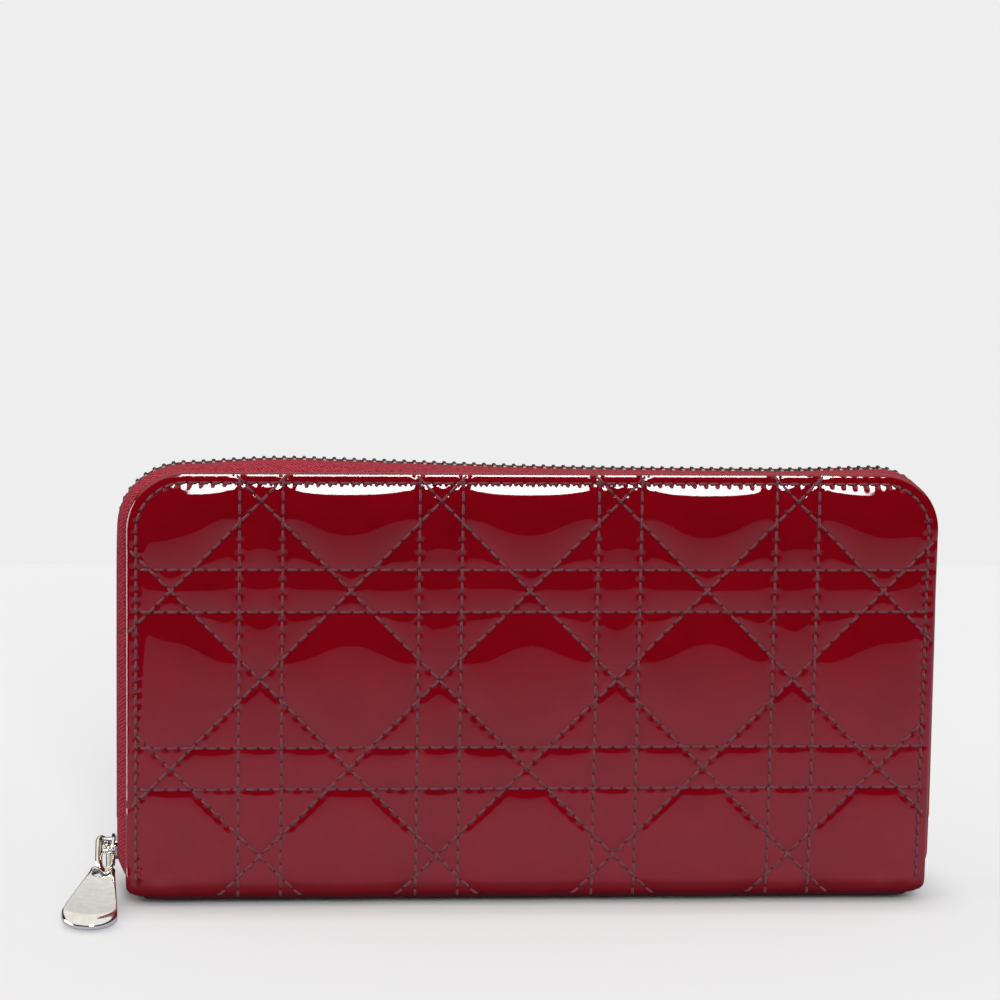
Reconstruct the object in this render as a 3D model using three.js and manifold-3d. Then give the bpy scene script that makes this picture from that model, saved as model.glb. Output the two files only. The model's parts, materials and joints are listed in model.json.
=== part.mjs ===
// Zip-around long wallet, in millimetres. +X runs along its length, -Y is the front, +Z is up.
// The wallet is closed and stands on its spine. The origin is the centre of the spine's flat underside.
// Two padded halves hinge on the spine, a metal zip runs round three sides of them, and between
// them stand two leather dividers and a coin pocket with a zip of its own.

import * as THREE from 'three';
import { mergeVertices } from 'three/addons/utils/BufferGeometryUtils.js';
import Module from 'manifold-3d';

const wasm = await Module();
wasm.setup();

// ---- Driving dimensions ----
const HALF_LENGTH = 97;          // covers, from the middle to either end
const HEIGHT = 106;              // top of the covers
const HALF_DEPTH = 13;           // outer skin of either half, from the middle plane
const TOP_RADIUS = 14;           // upper corners of the covers
const FOOT_RADIUS = 3;           // lower corners of the covers
const ARC_STEPS = 8;             // straight pieces in each rounded corner
const GAP = 0.1;                 // air left between flat layers

const SPINE_FLAT = 9;            // half width of the flat under the spine
const SPINE_RISE = 4;            // radius and height of the spine's turned-up sides
const COVER_FOOT = 4.3;          // height where the covers leave the spine
const LEATHER = 1.1;
const FOAM = 1.0;
const BOARD = 0.7;
const CLOTH = 0.4;               // lining
const LAYER_INSET = 1.5;         // hidden layers stop this far inside the cover's edge

const CARD_ROWS = 4;
const CARD_LEATHER = 0.3;
const CARD_TOP = 92;             // top edge of the rearmost card row
const CARD_STEP = 12;            // each row in front of it is this much lower
const CARD_INSET = 6;            // the rows stay inside the zip tape's sewn margin

const TEETH_INNER = 0.2;         // teeth, measured outward from the cover's outline
const TEETH_OUTER = 2.4;
const TEETH_NEAR = 0.3;          // teeth, measured from the middle plane
const TEETH_FAR = 2.9;
const TAPE_INNER = 1.0;          // tape web, measured outward from the cover's outline
const TAPE_OUTER = 1.6;
const TAPE_NEAR = 3.2;
const TAPE_FAR = 9.4;
const TAPE = 0.6;
const TAPE_MARGIN = -5;          // sewn margin reaches this far inside the outline
const ZIP_END = 3;               // lower end of the zip tapes
const ZIP_SPLIT = 19.4;          // the tapes below this are held by the spine

const DIVIDER_NEAR = 2.9;
const DIVIDER_FAR = 3.4;
const POCKET_FOOT = 4.6;
const DIVIDER_TOP = 88;
const DIVIDER_HALF_LENGTH = 89;
const COIN_WALL_NEAR = 2.3;
const COIN_WALL_FAR = 2.8;
const COIN_HALF_LENGTH = 88;
const COIN_TOP = 83.5;

// ---- Materials ----
const finish = (color, roughness, metalness = 0) =>
  new THREE.MeshStandardMaterial({ color, roughness, metalness });
const PATENT = finish(0x73000c, 0.08);
const CALF = finish(0x6e1420, 0.45);
const WOVEN = finish(0x7d1a2a, 0.85);
const TAPE_CLOTH = finish(0xb0303f, 0.8);
const SPONGE = finish(0xd8d2c4, 0.95);
const FIBREBOARD = finish(0x6b5a48, 0.9);
const PALLADIUM = finish(0xd6d3cc, 0.18, 1);
const NYLON = finish(0x8a1c2b, 0.5);

// ---- Outlines and solids ----

/** Outline of a cover panel in X and Z, drawn `inset` inside its edge and starting at height `foot`. */
function coverOutline(inset, foot, top = HEIGHT - inset, half = HALF_LENGTH - inset) {
  const upper = Math.max(TOP_RADIUS - inset, 1);
  const lower = FOOT_RADIUS;
  const shape = new THREE.Shape();
  shape.moveTo(-half + lower, foot);
  shape.lineTo(half - lower, foot);
  shape.absarc(half - lower, foot + lower, lower, -Math.PI / 2, 0, false);
  shape.absarc(half - upper, top - upper, upper, 0, Math.PI / 2, false);
  shape.absarc(-half + upper, top - upper, upper, Math.PI / 2, Math.PI, false);
  shape.absarc(-half + lower, foot + lower, lower, Math.PI, Math.PI * 1.5, false);
  return shape;
}

/** Outline of a strip that follows the covers' edge up one end, along the top and down the other. */
function archOutline(inner, outer, foot) {
  const half = HALF_LENGTH - TOP_RADIUS;
  const centre = HEIGHT - TOP_RADIUS;
  const shape = new THREE.Shape();
  shape.moveTo(-HALF_LENGTH - outer, foot);
  shape.absarc(-half, centre, TOP_RADIUS + outer, Math.PI, Math.PI / 2, true);
  shape.absarc(half, centre, TOP_RADIUS + outer, Math.PI / 2, 0, true);
  shape.lineTo(HALF_LENGTH + outer, foot);
  shape.lineTo(HALF_LENGTH + inner, foot);
  shape.absarc(half, centre, TOP_RADIUS + inner, 0, Math.PI / 2, false);
  shape.absarc(-half, centre, TOP_RADIUS + inner, Math.PI / 2, Math.PI, false);
  shape.lineTo(-HALF_LENGTH - inner, foot);
  return shape;
}

function polygon(points) {
  return new THREE.Shape(points.map(([a, b]) => new THREE.Vector2(a, b)));
}

function rectangle(a0, b0, a1, b1) {
  return polygon([[a0, b0], [a1, b0], [a1, b1], [a0, b1]]);
}

function extrude(shape, depth) {
  return new THREE.ExtrudeGeometry(shape, { depth, bevelEnabled: false, curveSegments: ARC_STEPS });
}

/** The two distances from the middle plane, in order, on the front (-1) or back (+1) side. */
function across(side, near, far) {
  return side < 0 ? [-far, -near] : [near, far];
}

/** A sheet whose outline is in X and Z, between two Y planes. */
function sheet(outline, yLow, yHigh) {
  return extrude(outline, yHigh - yLow).rotateX(Math.PI / 2).translate(0, yHigh, 0);
}

/** A bar whose section is in Y and Z, between two X planes. */
function bar(section, xLow, xHigh) {
  const turn = new THREE.Matrix4().makeBasis(
    new THREE.Vector3(0, 1, 0), new THREE.Vector3(0, 0, 1), new THREE.Vector3(1, 0, 0));
  return extrude(section, xHigh - xLow).applyMatrix4(turn).translate(xLow, 0, 0);
}

/** An upright whose section is in X and Y, between two heights. */
function upright(section, zLow, zHigh) {
  return extrude(section, zHigh - zLow).translate(0, 0, zLow);
}

function block(x0, y0, z0, x1, y1, z1) {
  return new THREE.BoxGeometry(x1 - x0, y1 - y0, z1 - z0)
    .translate((x0 + x1) / 2, (y0 + y1) / 2, (z0 + z1) / 2);
}

function toSolid(geometry) {
  const bare = geometry.clone();
  bare.deleteAttribute('normal');
  bare.deleteAttribute('uv');
  const merged = mergeVertices(bare);
  return new wasm.Manifold(new wasm.Mesh({
    numProp: 3,
    vertProperties: new Float32Array(merged.attributes.position.array),
    triVerts: new Uint32Array(merged.index.array),
  }));
}

/** One closed body from overlapping closed geometries. */
function join(...geometries) {
  const mesh = geometries.map(toSolid).reduce((whole, piece) => whole.add(piece)).getMesh();
  const joined = new THREE.BufferGeometry();
  joined.setAttribute('position', new THREE.BufferAttribute(mesh.vertProperties, 3));
  joined.setIndex(new THREE.BufferAttribute(mesh.triVerts, 1));
  return joined;
}

function part(parent, name, geometry, material) {
  const mesh = new THREE.Mesh(geometry, material);
  mesh.name = name;
  parent.add(mesh);
  return mesh;
}

const wallet = new THREE.Group();

// ---- Spine: the outer leather turns up at both sides, round a stiff strip ----
const spine = new THREE.Group();
wallet.add(spine);

function spineSection() {
  const inside = SPINE_RISE - LEATHER;
  const shape = new THREE.Shape();
  shape.moveTo(-SPINE_FLAT, 0);
  shape.lineTo(SPINE_FLAT, 0);
  shape.absarc(SPINE_FLAT, SPINE_RISE, SPINE_RISE, -Math.PI / 2, 0, false);
  shape.lineTo(HALF_DEPTH - LEATHER, SPINE_RISE);
  shape.absarc(SPINE_FLAT, SPINE_RISE, inside, 0, -Math.PI / 2, true);
  shape.lineTo(-SPINE_FLAT, LEATHER);
  shape.absarc(-SPINE_FLAT, SPINE_RISE, inside, -Math.PI / 2, -Math.PI, true);
  shape.lineTo(-HALF_DEPTH, SPINE_RISE);
  shape.absarc(-SPINE_FLAT, SPINE_RISE, SPINE_RISE, Math.PI, Math.PI * 1.5, false);
  return shape;
}

const spineEnd = HALF_LENGTH - 1;
const stripHalf = SPINE_FLAT - 0.4;
const stiffenerTop = LEATHER + 0.2 + BOARD;
const spineLiningTop = stiffenerTop + 0.2 + CLOTH;
part(spine, 'spine_leather', bar(spineSection(), -spineEnd, spineEnd), PATENT);
part(spine, 'spine_stiffener',
  bar(rectangle(-stripHalf, LEATHER + 0.2, stripHalf, stiffenerTop), -92, 92), FIBREBOARD);
part(spine, 'spine_lining',
  bar(rectangle(-stripHalf, stiffenerTop + 0.2, stripHalf, spineLiningTop), -92, 92), WOVEN);
part(spine, 'pocket_base',
  bar(rectangle(-DIVIDER_FAR, spineLiningTop + 0.2, DIVIDER_FAR, POCKET_FOOT - 0.3), -89, 89), CALF);

// ---- Front and back halves ----
function half(side, name) {
  const group = new THREE.Group();
  const layer = (piece, near, thickness, outline, material) =>
    part(group, `${name}_${piece}`, sheet(outline, ...across(side, near, near + thickness)), material);

  const leatherNear = HALF_DEPTH - LEATHER;
  const foamNear = leatherNear - GAP - FOAM;
  const boardNear = foamNear - GAP - BOARD;
  const liningNear = boardNear - GAP - CLOTH;
  const hidden = coverOutline(LAYER_INSET, COVER_FOOT + 0.2);
  layer('cover', leatherNear, LEATHER, coverOutline(0, COVER_FOOT), PATENT);
  layer('padding', foamNear, FOAM, hidden, SPONGE);
  layer('board', boardNear, BOARD, hidden, FIBREBOARD);
  layer('lining', liningNear, CLOTH, hidden, WOVEN);

  let near = liningNear;
  for (let row = 1; row <= CARD_ROWS; row += 1) {
    near -= GAP + CARD_LEATHER;
    const top = CARD_TOP - CARD_STEP * (row - 1);
    layer(`card_pocket_${row}`, near, CARD_LEATHER,
      coverOutline(CARD_INSET, COVER_FOOT + 0.4, top), CALF);
  }

  const web = sheet(archOutline(TAPE_INNER, TAPE_OUTER, ZIP_SPLIT + 0.6),
    ...across(side, TAPE_NEAR, TAPE_FAR));
  const margin = sheet(archOutline(TAPE_MARGIN, TAPE_OUTER, ZIP_SPLIT + 0.6),
    ...across(side, TAPE_FAR - TAPE, TAPE_FAR));
  part(group, `${name}_zip_tape`, join(web, margin), TAPE_CLOTH);
  layer('zip_teeth', TEETH_NEAR, TEETH_FAR - TEETH_NEAR,
    archOutline(TEETH_INNER, TEETH_OUTER, ZIP_SPLIT + 0.6), PALLADIUM);
  return group;
}

const frontHalf = half(-1, 'front');
const backHalf = half(1, 'back');
wallet.add(frontHalf, backHalf);

// ---- Zip ends: the last stretch of both tapes, sewn down to the spine ----
function zipEnd(end, side, suffix) {
  const x = (n) => end * (HALF_LENGTH + n);
  const y = (d) => side * d;
  const ordered = (points) => (end * side > 0 ? points : points.reverse());
  const tape = polygon(ordered([
    [x(TAPE_MARGIN), y(TAPE_FAR - TAPE)], [x(TAPE_INNER), y(TAPE_FAR - TAPE)],
    [x(TAPE_INNER), y(TAPE_NEAR)], [x(TAPE_OUTER), y(TAPE_NEAR)],
    [x(TAPE_OUTER), y(TAPE_FAR)], [x(TAPE_MARGIN), y(TAPE_FAR)]]));
  part(spine, `zip_end_tape_${suffix}`, upright(tape, ZIP_END, ZIP_SPLIT), TAPE_CLOTH);
  const strip = [
    Math.min(x(TEETH_INNER), x(TEETH_OUTER)), Math.min(y(TEETH_NEAR), y(TEETH_FAR)),
    Math.max(x(TEETH_INNER), x(TEETH_OUTER)), Math.max(y(TEETH_NEAR), y(TEETH_FAR))];
  const stopTop = ZIP_END + 2.2;
  part(spine, `zip_end_teeth_${suffix}`,
    upright(rectangle(...strip), stopTop + 0.2, ZIP_SPLIT), PALLADIUM);
  part(spine, `zip_stop_${suffix}`, upright(rectangle(...strip), ZIP_END + 0.2, stopTop), PALLADIUM);
}

zipEnd(-1, -1, 'left_front');
zipEnd(-1, 1, 'left_back');
zipEnd(1, -1, 'right_front');
zipEnd(1, 1, 'right_back');

// ---- Gussets: one folded strip at each end of each banknote compartment ----
function gusset(end, side, suffix) {
  const outer = 7.4;
  const inner = DIVIDER_FAR + 0.2;
  const middle = (outer + inner) / 2;
  const root = 92;
  const fold = 86;
  const thick = 0.5;
  const section = [
    [root, inner], [root, inner + thick], [fold + 1.2, middle],
    [root, outer - thick], [root, outer], [fold, middle]];
  const points = section.map(([a, b]) => [end * a, side * b]);
  if (end * side < 0) points.reverse();
  part(spine, `gusset_${suffix}`, upright(polygon(points), POCKET_FOOT + 2, 84), CALF);
}

gusset(-1, -1, 'front_left');
gusset(1, -1, 'front_right');
gusset(-1, 1, 'back_left');
gusset(1, 1, 'back_right');

// ---- Dividers ----
const dividerOutline = coverOutline(0, POCKET_FOOT, DIVIDER_TOP, DIVIDER_HALF_LENGTH);
for (const [side, name] of [[-1, 'front_divider'], [1, 'back_divider']]) {
  part(wallet, name, sheet(dividerOutline, ...across(side, DIVIDER_NEAR, DIVIDER_FAR)), CALF);
}

// ---- Coin pocket: two walls, a narrow gusset round three sides, and a coil zip along the top ----
const coinOutline = rectangle(-COIN_HALF_LENGTH, POCKET_FOOT, COIN_HALF_LENGTH, COIN_TOP);
for (const [side, name] of [[-1, 'coin_pocket_front'], [1, 'coin_pocket_back']]) {
  part(spine, name, sheet(coinOutline, ...across(side, COIN_WALL_NEAR, COIN_WALL_FAR)), CALF);
}
const coinGusset = polygon([
  [-COIN_HALF_LENGTH, POCKET_FOOT], [COIN_HALF_LENGTH, POCKET_FOOT], [COIN_HALF_LENGTH, COIN_TOP],
  [COIN_HALF_LENGTH - 0.6, COIN_TOP], [COIN_HALF_LENGTH - 0.6, POCKET_FOOT + 0.6],
  [-COIN_HALF_LENGTH + 0.6, POCKET_FOOT + 0.6], [-COIN_HALF_LENGTH + 0.6, COIN_TOP],
  [-COIN_HALF_LENGTH, COIN_TOP]]);
part(spine, 'coin_pocket_gusset', sheet(coinGusset, -COIN_WALL_NEAR + GAP, COIN_WALL_NEAR - GAP), CALF);

const COIL_BASE = COIN_TOP + 1.2;
const COIL_TOP = COIL_BASE + 1.2;
const COIL_NEAR = 0.3;
const COIL_FAR = 1.8;
const COIL_HALF_LENGTH = 80;
for (const [side, name] of [[-1, 'front'], [1, 'back']]) {
  const points = [
    [COIN_WALL_FAR, COIN_TOP + 0.3], [COIN_WALL_FAR, COIL_TOP - 0.3], [COIL_FAR + 0.2, COIL_TOP - 0.3],
    [COIL_FAR + 0.2, COIL_BASE + 0.3], [COIN_WALL_NEAR, COIL_BASE + 0.3], [COIN_WALL_NEAR, COIN_TOP + 0.3]]
    .map(([y, z]) => [side * y, z]);
  if (side < 0) points.reverse();
  part(spine, `coin_zip_tape_${name}`, bar(polygon(points), -84, 84), TAPE_CLOTH);
  const [low, high] = across(side, COIL_NEAR, COIL_FAR);
  part(spine, `coin_zip_coil_${name}`,
    bar(rectangle(low, COIL_BASE, high, COIL_TOP), -COIL_HALF_LENGTH, COIL_HALF_LENGTH), NYLON);
}
for (const [end, name] of [[-1, 'left'], [1, 'right']]) {
  const [low, high] = across(end, COIL_HALF_LENGTH + 0.3, COIL_HALF_LENGTH + 2.3);
  part(spine, `coin_zip_stop_${name}`,
    bar(rectangle(-COIL_FAR, COIL_BASE, COIL_FAR, COIL_TOP), low, high), PALLADIUM);
}

// ---- Main slider, link and pull tab, at the lower left end of the zip ----
const SLIDER_FOOT = 7.5;
const SLIDER_TOP = 18;
const PLATE = 0.9;
const PLATE_HALF = 4.6;
const LIP_FROM = 3.9;
const RUN = 0.25;                        // running clearance round the teeth
const outerFace = -HALF_LENGTH - TEETH_OUTER - RUN - PLATE;   // outer plate's outer face, along X
const innerFace = -HALF_LENGTH - TEETH_INNER + RUN + PLATE;   // inner plate's inner face
const BRIDGE_REACH = 2.5;                // bridge, outward from the outer plate
const BRIDGE = 1.0;
const LEG_HALF = 0.6;
const LEG_Z = 11.8;                      // middle of the bridge's lower leg
const UPPER_LEG_Z = 16.2;

function sliderBody() {
  const outerLip = -HALF_LENGTH - TAPE_OUTER - 0.35;
  const innerLip = -HALF_LENGTH - TAPE_INNER + 0.85;
  const post = 0.12;
  const section = polygon([
    [outerFace, -PLATE_HALF], [outerLip, -PLATE_HALF], [outerLip, -LIP_FROM],
    [outerFace + PLATE, -LIP_FROM], [outerFace + PLATE, -post], [innerFace - PLATE, -post],
    [innerFace - PLATE, -LIP_FROM], [innerLip, -LIP_FROM], [innerLip, -PLATE_HALF],
    [innerFace, -PLATE_HALF], [innerFace, PLATE_HALF], [innerLip, PLATE_HALF],
    [innerLip, LIP_FROM], [innerFace - PLATE, LIP_FROM], [innerFace - PLATE, post],
    [outerFace + PLATE, post], [outerFace + PLATE, LIP_FROM], [outerLip, LIP_FROM],
    [outerLip, PLATE_HALF], [outerFace, PLATE_HALF]]);
  const leg = (z) => block(outerFace - BRIDGE_REACH, -LEG_HALF, z - LEG_HALF,
    outerFace + 0.3, LEG_HALF, z + LEG_HALF);
  const arch = block(outerFace - BRIDGE_REACH, -LEG_HALF, LEG_Z - LEG_HALF,
    outerFace - BRIDGE_REACH + BRIDGE, LEG_HALF, UPPER_LEG_Z + LEG_HALF);
  return join(upright(section, SLIDER_FOOT, SLIDER_TOP), leg(LEG_Z), leg(UPPER_LEG_Z), arch);
}

part(wallet, 'zip_slider', sliderBody(), PALLADIUM);

const LINK_WIRE = 1.2;
const LINK_THICK = 1.1;
const LINK_HOLE = 1.9;                   // half width of the opening in the link
const LINK_REACH = 8.0;                  // from the leg's middle to the far wire's middle
const LINK_DROP = THREE.MathUtils.degToRad(24);
const linkX = outerFace - (BRIDGE_REACH - BRIDGE) / 2;

/** A flat oval ring in Y and Z, hanging forward from the bridge's lower leg. */
function link() {
  const back = LINK_HOLE - LEG_HALF - 0.45;       // the leg sits this far behind the rear curve's centre
  const rear = -back;
  const front = rear - (LINK_REACH - back - LINK_HOLE - LINK_WIRE / 2);
  const oval = (radius, path) => {
    path.absarc(rear, 0, radius, -Math.PI / 2, Math.PI / 2, false);
    path.absarc(front, 0, radius, Math.PI / 2, Math.PI * 1.5, false);
    return path;
  };
  const shape = oval(LINK_HOLE + LINK_WIRE, new THREE.Shape());
  shape.holes.push(oval(LINK_HOLE, new THREE.Path()));
  return bar(shape, -LINK_THICK / 2, LINK_THICK / 2);
}

const linkMesh = part(wallet, 'pull_link', link(), PALLADIUM);
linkMesh.position.set(linkX, 0, LEG_Z);
linkMesh.rotation.x = LINK_DROP;

const TAB_LENGTH = 29.5;
const TAB_THICK = 1.7;
const TAB_TOP_HALF = 3.2;
const TAB_FOOT_HALF = 6.5;
const TAB_EYE = 2.4;                     // from the tab's top end to the link's far wire
const TAB_OFFSET = 0.75;                 // the tab hangs off the link's middle by this much
const TAB_TURN = THREE.MathUtils.degToRad(6.4);
const wireY = -LINK_REACH * Math.cos(LINK_DROP);
const wireZ = LEG_Z - LINK_REACH * Math.sin(LINK_DROP);
const TAB_TILT = Math.asin((wireZ - TAB_THICK / 2 - 0.05) / (TAB_LENGTH - TAB_EYE));

/** A flat tapering tab with a slot near its top. Its length runs along -Y from the link's wire. */
function tab() {
  const top = TAB_EYE;
  const foot = TAB_EYE - TAB_LENGTH;
  const shape = new THREE.Shape();
  shape.moveTo(-TAB_TOP_HALF + 1.6, top);
  shape.quadraticCurveTo(-TAB_TOP_HALF, top, -TAB_TOP_HALF, top - 1.8);
  shape.lineTo(-TAB_FOOT_HALF, foot + 5);
  shape.quadraticCurveTo(-TAB_FOOT_HALF, foot, 0, foot);
  shape.quadraticCurveTo(TAB_FOOT_HALF, foot, TAB_FOOT_HALF, foot + 5);
  shape.lineTo(TAB_TOP_HALF, top - 1.8);
  shape.quadraticCurveTo(TAB_TOP_HALF, top, TAB_TOP_HALF - 1.6, top);
  const slot = new THREE.Path();
  const slotHalf = 2.0;
  const slotTop = LINK_WIRE / 2 + 0.5;
  slot.moveTo(-slotHalf, slotTop);
  slot.lineTo(-slotHalf, slotTop - 2);
  slot.absarc(0, slotTop - 2, slotHalf, Math.PI, Math.PI * 2, false);
  slot.lineTo(slotHalf, slotTop);
  shape.holes.push(slot);
  return extrude(shape, TAB_THICK).translate(0, 0, -TAB_THICK / 2);
}

const tabMount = new THREE.Group();
tabMount.position.set(linkX - TAB_OFFSET, wireY, wireZ);
tabMount.rotation.z = -TAB_TURN;
wallet.add(tabMount);
part(tabMount, 'pull_tab', tab(), PALLADIUM).rotation.x = TAB_TILT;

// ---- Coin pocket slider and its pull ----
const COIN_SLIDER_X = -70;
const coinPlateTop = COIL_TOP + 0.9;

function coinSliderBody() {
  const post = 0.12;
  const plateHalf = 1.9;
  const lowPlate = COIL_BASE - 0.9;
  const section = polygon([
    [-plateHalf, lowPlate], [plateHalf, lowPlate], [plateHalf, COIL_BASE - 0.2],
    [post, COIL_BASE - 0.2], [post, COIL_TOP + 0.2], [plateHalf, COIL_TOP + 0.2],
    [plateHalf, coinPlateTop], [-plateHalf, coinPlateTop], [-plateHalf, COIL_TOP + 0.2],
    [-post, COIL_TOP + 0.2], [-post, COIL_BASE - 0.2], [-plateHalf, COIL_BASE - 0.2]]);
  const leg = (x) => block(x, -0.6, coinPlateTop - 0.2, x + 0.8, 0.6, coinPlateTop + 2.5);
  const arch = block(-2.5, -0.6, coinPlateTop + 1.9, 2.5, 0.6, coinPlateTop + 2.5);
  return join(bar(section, -3.8, 3.8), leg(-2.5), leg(1.7), arch);
}

part(wallet, 'coin_slider', coinSliderBody(), PALLADIUM).position.x = COIN_SLIDER_X;

function coinPull() {
  const outline = new THREE.Shape();
  outline.moveTo(-0.55, -1.7);
  outline.lineTo(11, -2.3);
  outline.absarc(11, 0, 2.3, -Math.PI / 2, Math.PI / 2, false);
  outline.lineTo(-0.55, 1.7);
  outline.holes.push(new THREE.Path([
    new THREE.Vector2(0.55, -1), new THREE.Vector2(0.55, 1),
    new THREE.Vector2(2.75, 1), new THREE.Vector2(2.75, -1)]));
  return extrude(outline, 0.6).translate(0, 0, -0.3);
}

part(wallet, 'coin_pull', coinPull(), PALLADIUM)
  .position.set(COIN_SLIDER_X + 0.75, 0, coinPlateTop + 0.9);

export default wallet;
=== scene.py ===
# %% [markdown]
# # A quilted patent-leather long wallet
# The wallet stands closed on its spine, with its zip pull lying to the left.
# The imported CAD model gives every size, place and moving body. Blender adds what makes the
# object real: pillowed leather, thread, woven tape, metal teeth and polished hardware.

# %% Load the frame
import json
import math

import bmesh
import bpy
import numpy as np
from mathutils import Matrix, Vector


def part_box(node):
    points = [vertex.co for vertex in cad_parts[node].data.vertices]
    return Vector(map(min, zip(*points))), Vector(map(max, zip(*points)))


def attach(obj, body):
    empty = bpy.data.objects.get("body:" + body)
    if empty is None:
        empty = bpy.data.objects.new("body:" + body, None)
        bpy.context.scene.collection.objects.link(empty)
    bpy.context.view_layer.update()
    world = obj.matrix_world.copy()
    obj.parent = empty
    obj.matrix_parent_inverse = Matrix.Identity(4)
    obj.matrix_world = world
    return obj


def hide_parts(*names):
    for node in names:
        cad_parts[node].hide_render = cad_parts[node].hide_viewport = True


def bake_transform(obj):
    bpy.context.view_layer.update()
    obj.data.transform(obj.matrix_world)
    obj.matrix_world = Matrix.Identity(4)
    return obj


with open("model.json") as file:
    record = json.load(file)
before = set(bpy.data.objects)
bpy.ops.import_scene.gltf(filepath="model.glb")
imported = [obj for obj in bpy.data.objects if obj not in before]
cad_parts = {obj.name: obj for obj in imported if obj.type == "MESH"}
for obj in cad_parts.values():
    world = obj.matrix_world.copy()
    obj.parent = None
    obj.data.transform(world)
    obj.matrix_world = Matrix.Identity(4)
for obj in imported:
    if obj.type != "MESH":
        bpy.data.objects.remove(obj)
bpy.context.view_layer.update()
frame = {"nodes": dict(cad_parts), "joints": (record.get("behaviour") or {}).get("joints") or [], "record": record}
MM = 0.001

# %% [markdown]
# Every size comes from the frame, turned to millimetres because leather workers use them.
# Only what CAD has no box for, such as corner radii and stitch pitches, is named here.

# %% Sizes from the frame


def box_mm(node):
    low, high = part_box(node)
    return np.array(low) / MM, np.array(high) / MM


def joint_mm(name):
    joint = next(j for j in frame["joints"] if j["name"] == name)
    return np.array(joint["pos_m"]) / MM, np.array(joint["axis"])


cover_low, cover_high = box_mm("front_cover")
_, spine_high = box_mm("spine_leather")
HALF = float(cover_high[0])
TOP = float(cover_high[2])
SKIN = float(-cover_low[1])
RISE = float(spine_high[2])
CORNER = 14.0
FLAT = SKIN - RISE
TURN = RISE * math.pi / 2
SPINE_W = RISE - TURN - FLAT
print(f"cover {2 * HALF:.0f} x {TOP:.0f} mm, {2 * SKIN:.0f} mm thick")

# %% [markdown]
# ## Helpers
# A few small helpers keep the rest short. One turns sRGB hex values, which a dyer or a paint
# chart would give, into the linear numbers a shader needs. One adds a shader node with its
# settings and links. The others are the textures that are used again and again.

# %% Colour and node helpers


def srgb(code):
    parts = [int(code[i:i + 2], 16) / 255 for i in (1, 3, 5)]
    linear = [c / 12.92 if c <= 0.04045 else ((c + 0.055) / 1.055) ** 2.4 for c in parts]
    return (*linear, 1.0)


def add(tree, kind, links=None, values=None, **settings):
    """One shader node. `values` sets sockets, and `links` joins them to other nodes' outputs."""
    node = tree.nodes.new(kind)
    for key, value in settings.items():
        setattr(node, key, value)
    for key, value in (values or {}).items():
        node.inputs[key].default_value = value
    for key, socket in (links or {}).items():
        tree.links.new(socket, node.inputs[key])
    return node


def new_material(name, **surface):
    """A material with a Principled surface. Returns the material, its tree and the surface node."""
    material = bpy.data.materials.new(name)
    material.use_nodes = True
    tree = material.node_tree
    shader = tree.nodes["Principled BSDF"]
    for key, value in surface.items():
        shader.inputs[key.replace("_", " ")].default_value = value
    return material, tree, shader


def millimetres(tree, uv=False):
    """Coordinates in millimetres: the object's own, or the UV map that a piece was made with."""
    source = add(tree, "ShaderNodeTexCoord").outputs["UV" if uv else "Object"]
    if uv:
        return source
    scale = add(tree, "ShaderNodeVectorMath", {0: source}, {1: (1 / MM,) * 3}, operation="MULTIPLY")
    return scale.outputs[0]


def noise(tree, where, size, detail=2.0, rough=0.5):
    """Noise whose features are about `size` millimetres across."""
    return add(tree, "ShaderNodeTexNoise", {"Vector": where},
               {"Scale": 1 / size, "Detail": detail, "Roughness": rough}).outputs["Fac"]


def ramp(tree, factor, stops):
    """Colour by factor, from (place, sRGB hex) stops."""
    node = add(tree, "ShaderNodeValToRGB", {"Fac": factor})
    elements = node.color_ramp.elements
    while len(elements) < len(stops):
        elements.new(0.5)
    for element, (place, code) in zip(elements, stops):
        element.position = place
        element.color = srgb(code)
    return node.outputs["Color"]


def bump(tree, height, depth, normal=None):
    """Bump of `depth` millimetres."""
    links = {"Height": height}
    if normal is not None:
        links["Normal"] = normal
    node = add(tree, "ShaderNodeBump", links, {"Strength": 1.0, "Distance": depth * MM})
    return node.outputs["Normal"]


def spread(tree, factor, low, high):
    """Stretches a 0 to 1 factor to the range low to high."""
    return add(tree, "ShaderNodeMapRange", {"Value": factor},
               {"From Min": 0.0, "From Max": 1.0, "To Min": low, "To Max": high}).outputs["Result"]


# %% [markdown]
# Nearly every piece here is a grid of points: rows round a section, or places on a sheet. So two
# helpers do most of the work: one lists the quads of a grid, and one turns points and faces
# into an object. `place` then says which body carries it and which CAD nodes it stands for.

# %% Mesh helpers


def grid_faces(rows, cols, close_rows=False, close_cols=False, flip=False, start=0):
    """Quads over a rows by cols grid of points."""
    r = np.arange(rows if close_rows else rows - 1)
    c = np.arange(cols if close_cols else cols - 1)
    r, c = np.meshgrid(r, c, indexing="ij")
    r2, c2 = (r + 1) % rows, (c + 1) % cols
    quads = np.stack([r * cols + c, r * cols + c2, r2 * cols + c2, r2 * cols + c], -1).reshape(-1, 4)
    return (quads[:, ::-1] if flip else quads) + start


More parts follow.
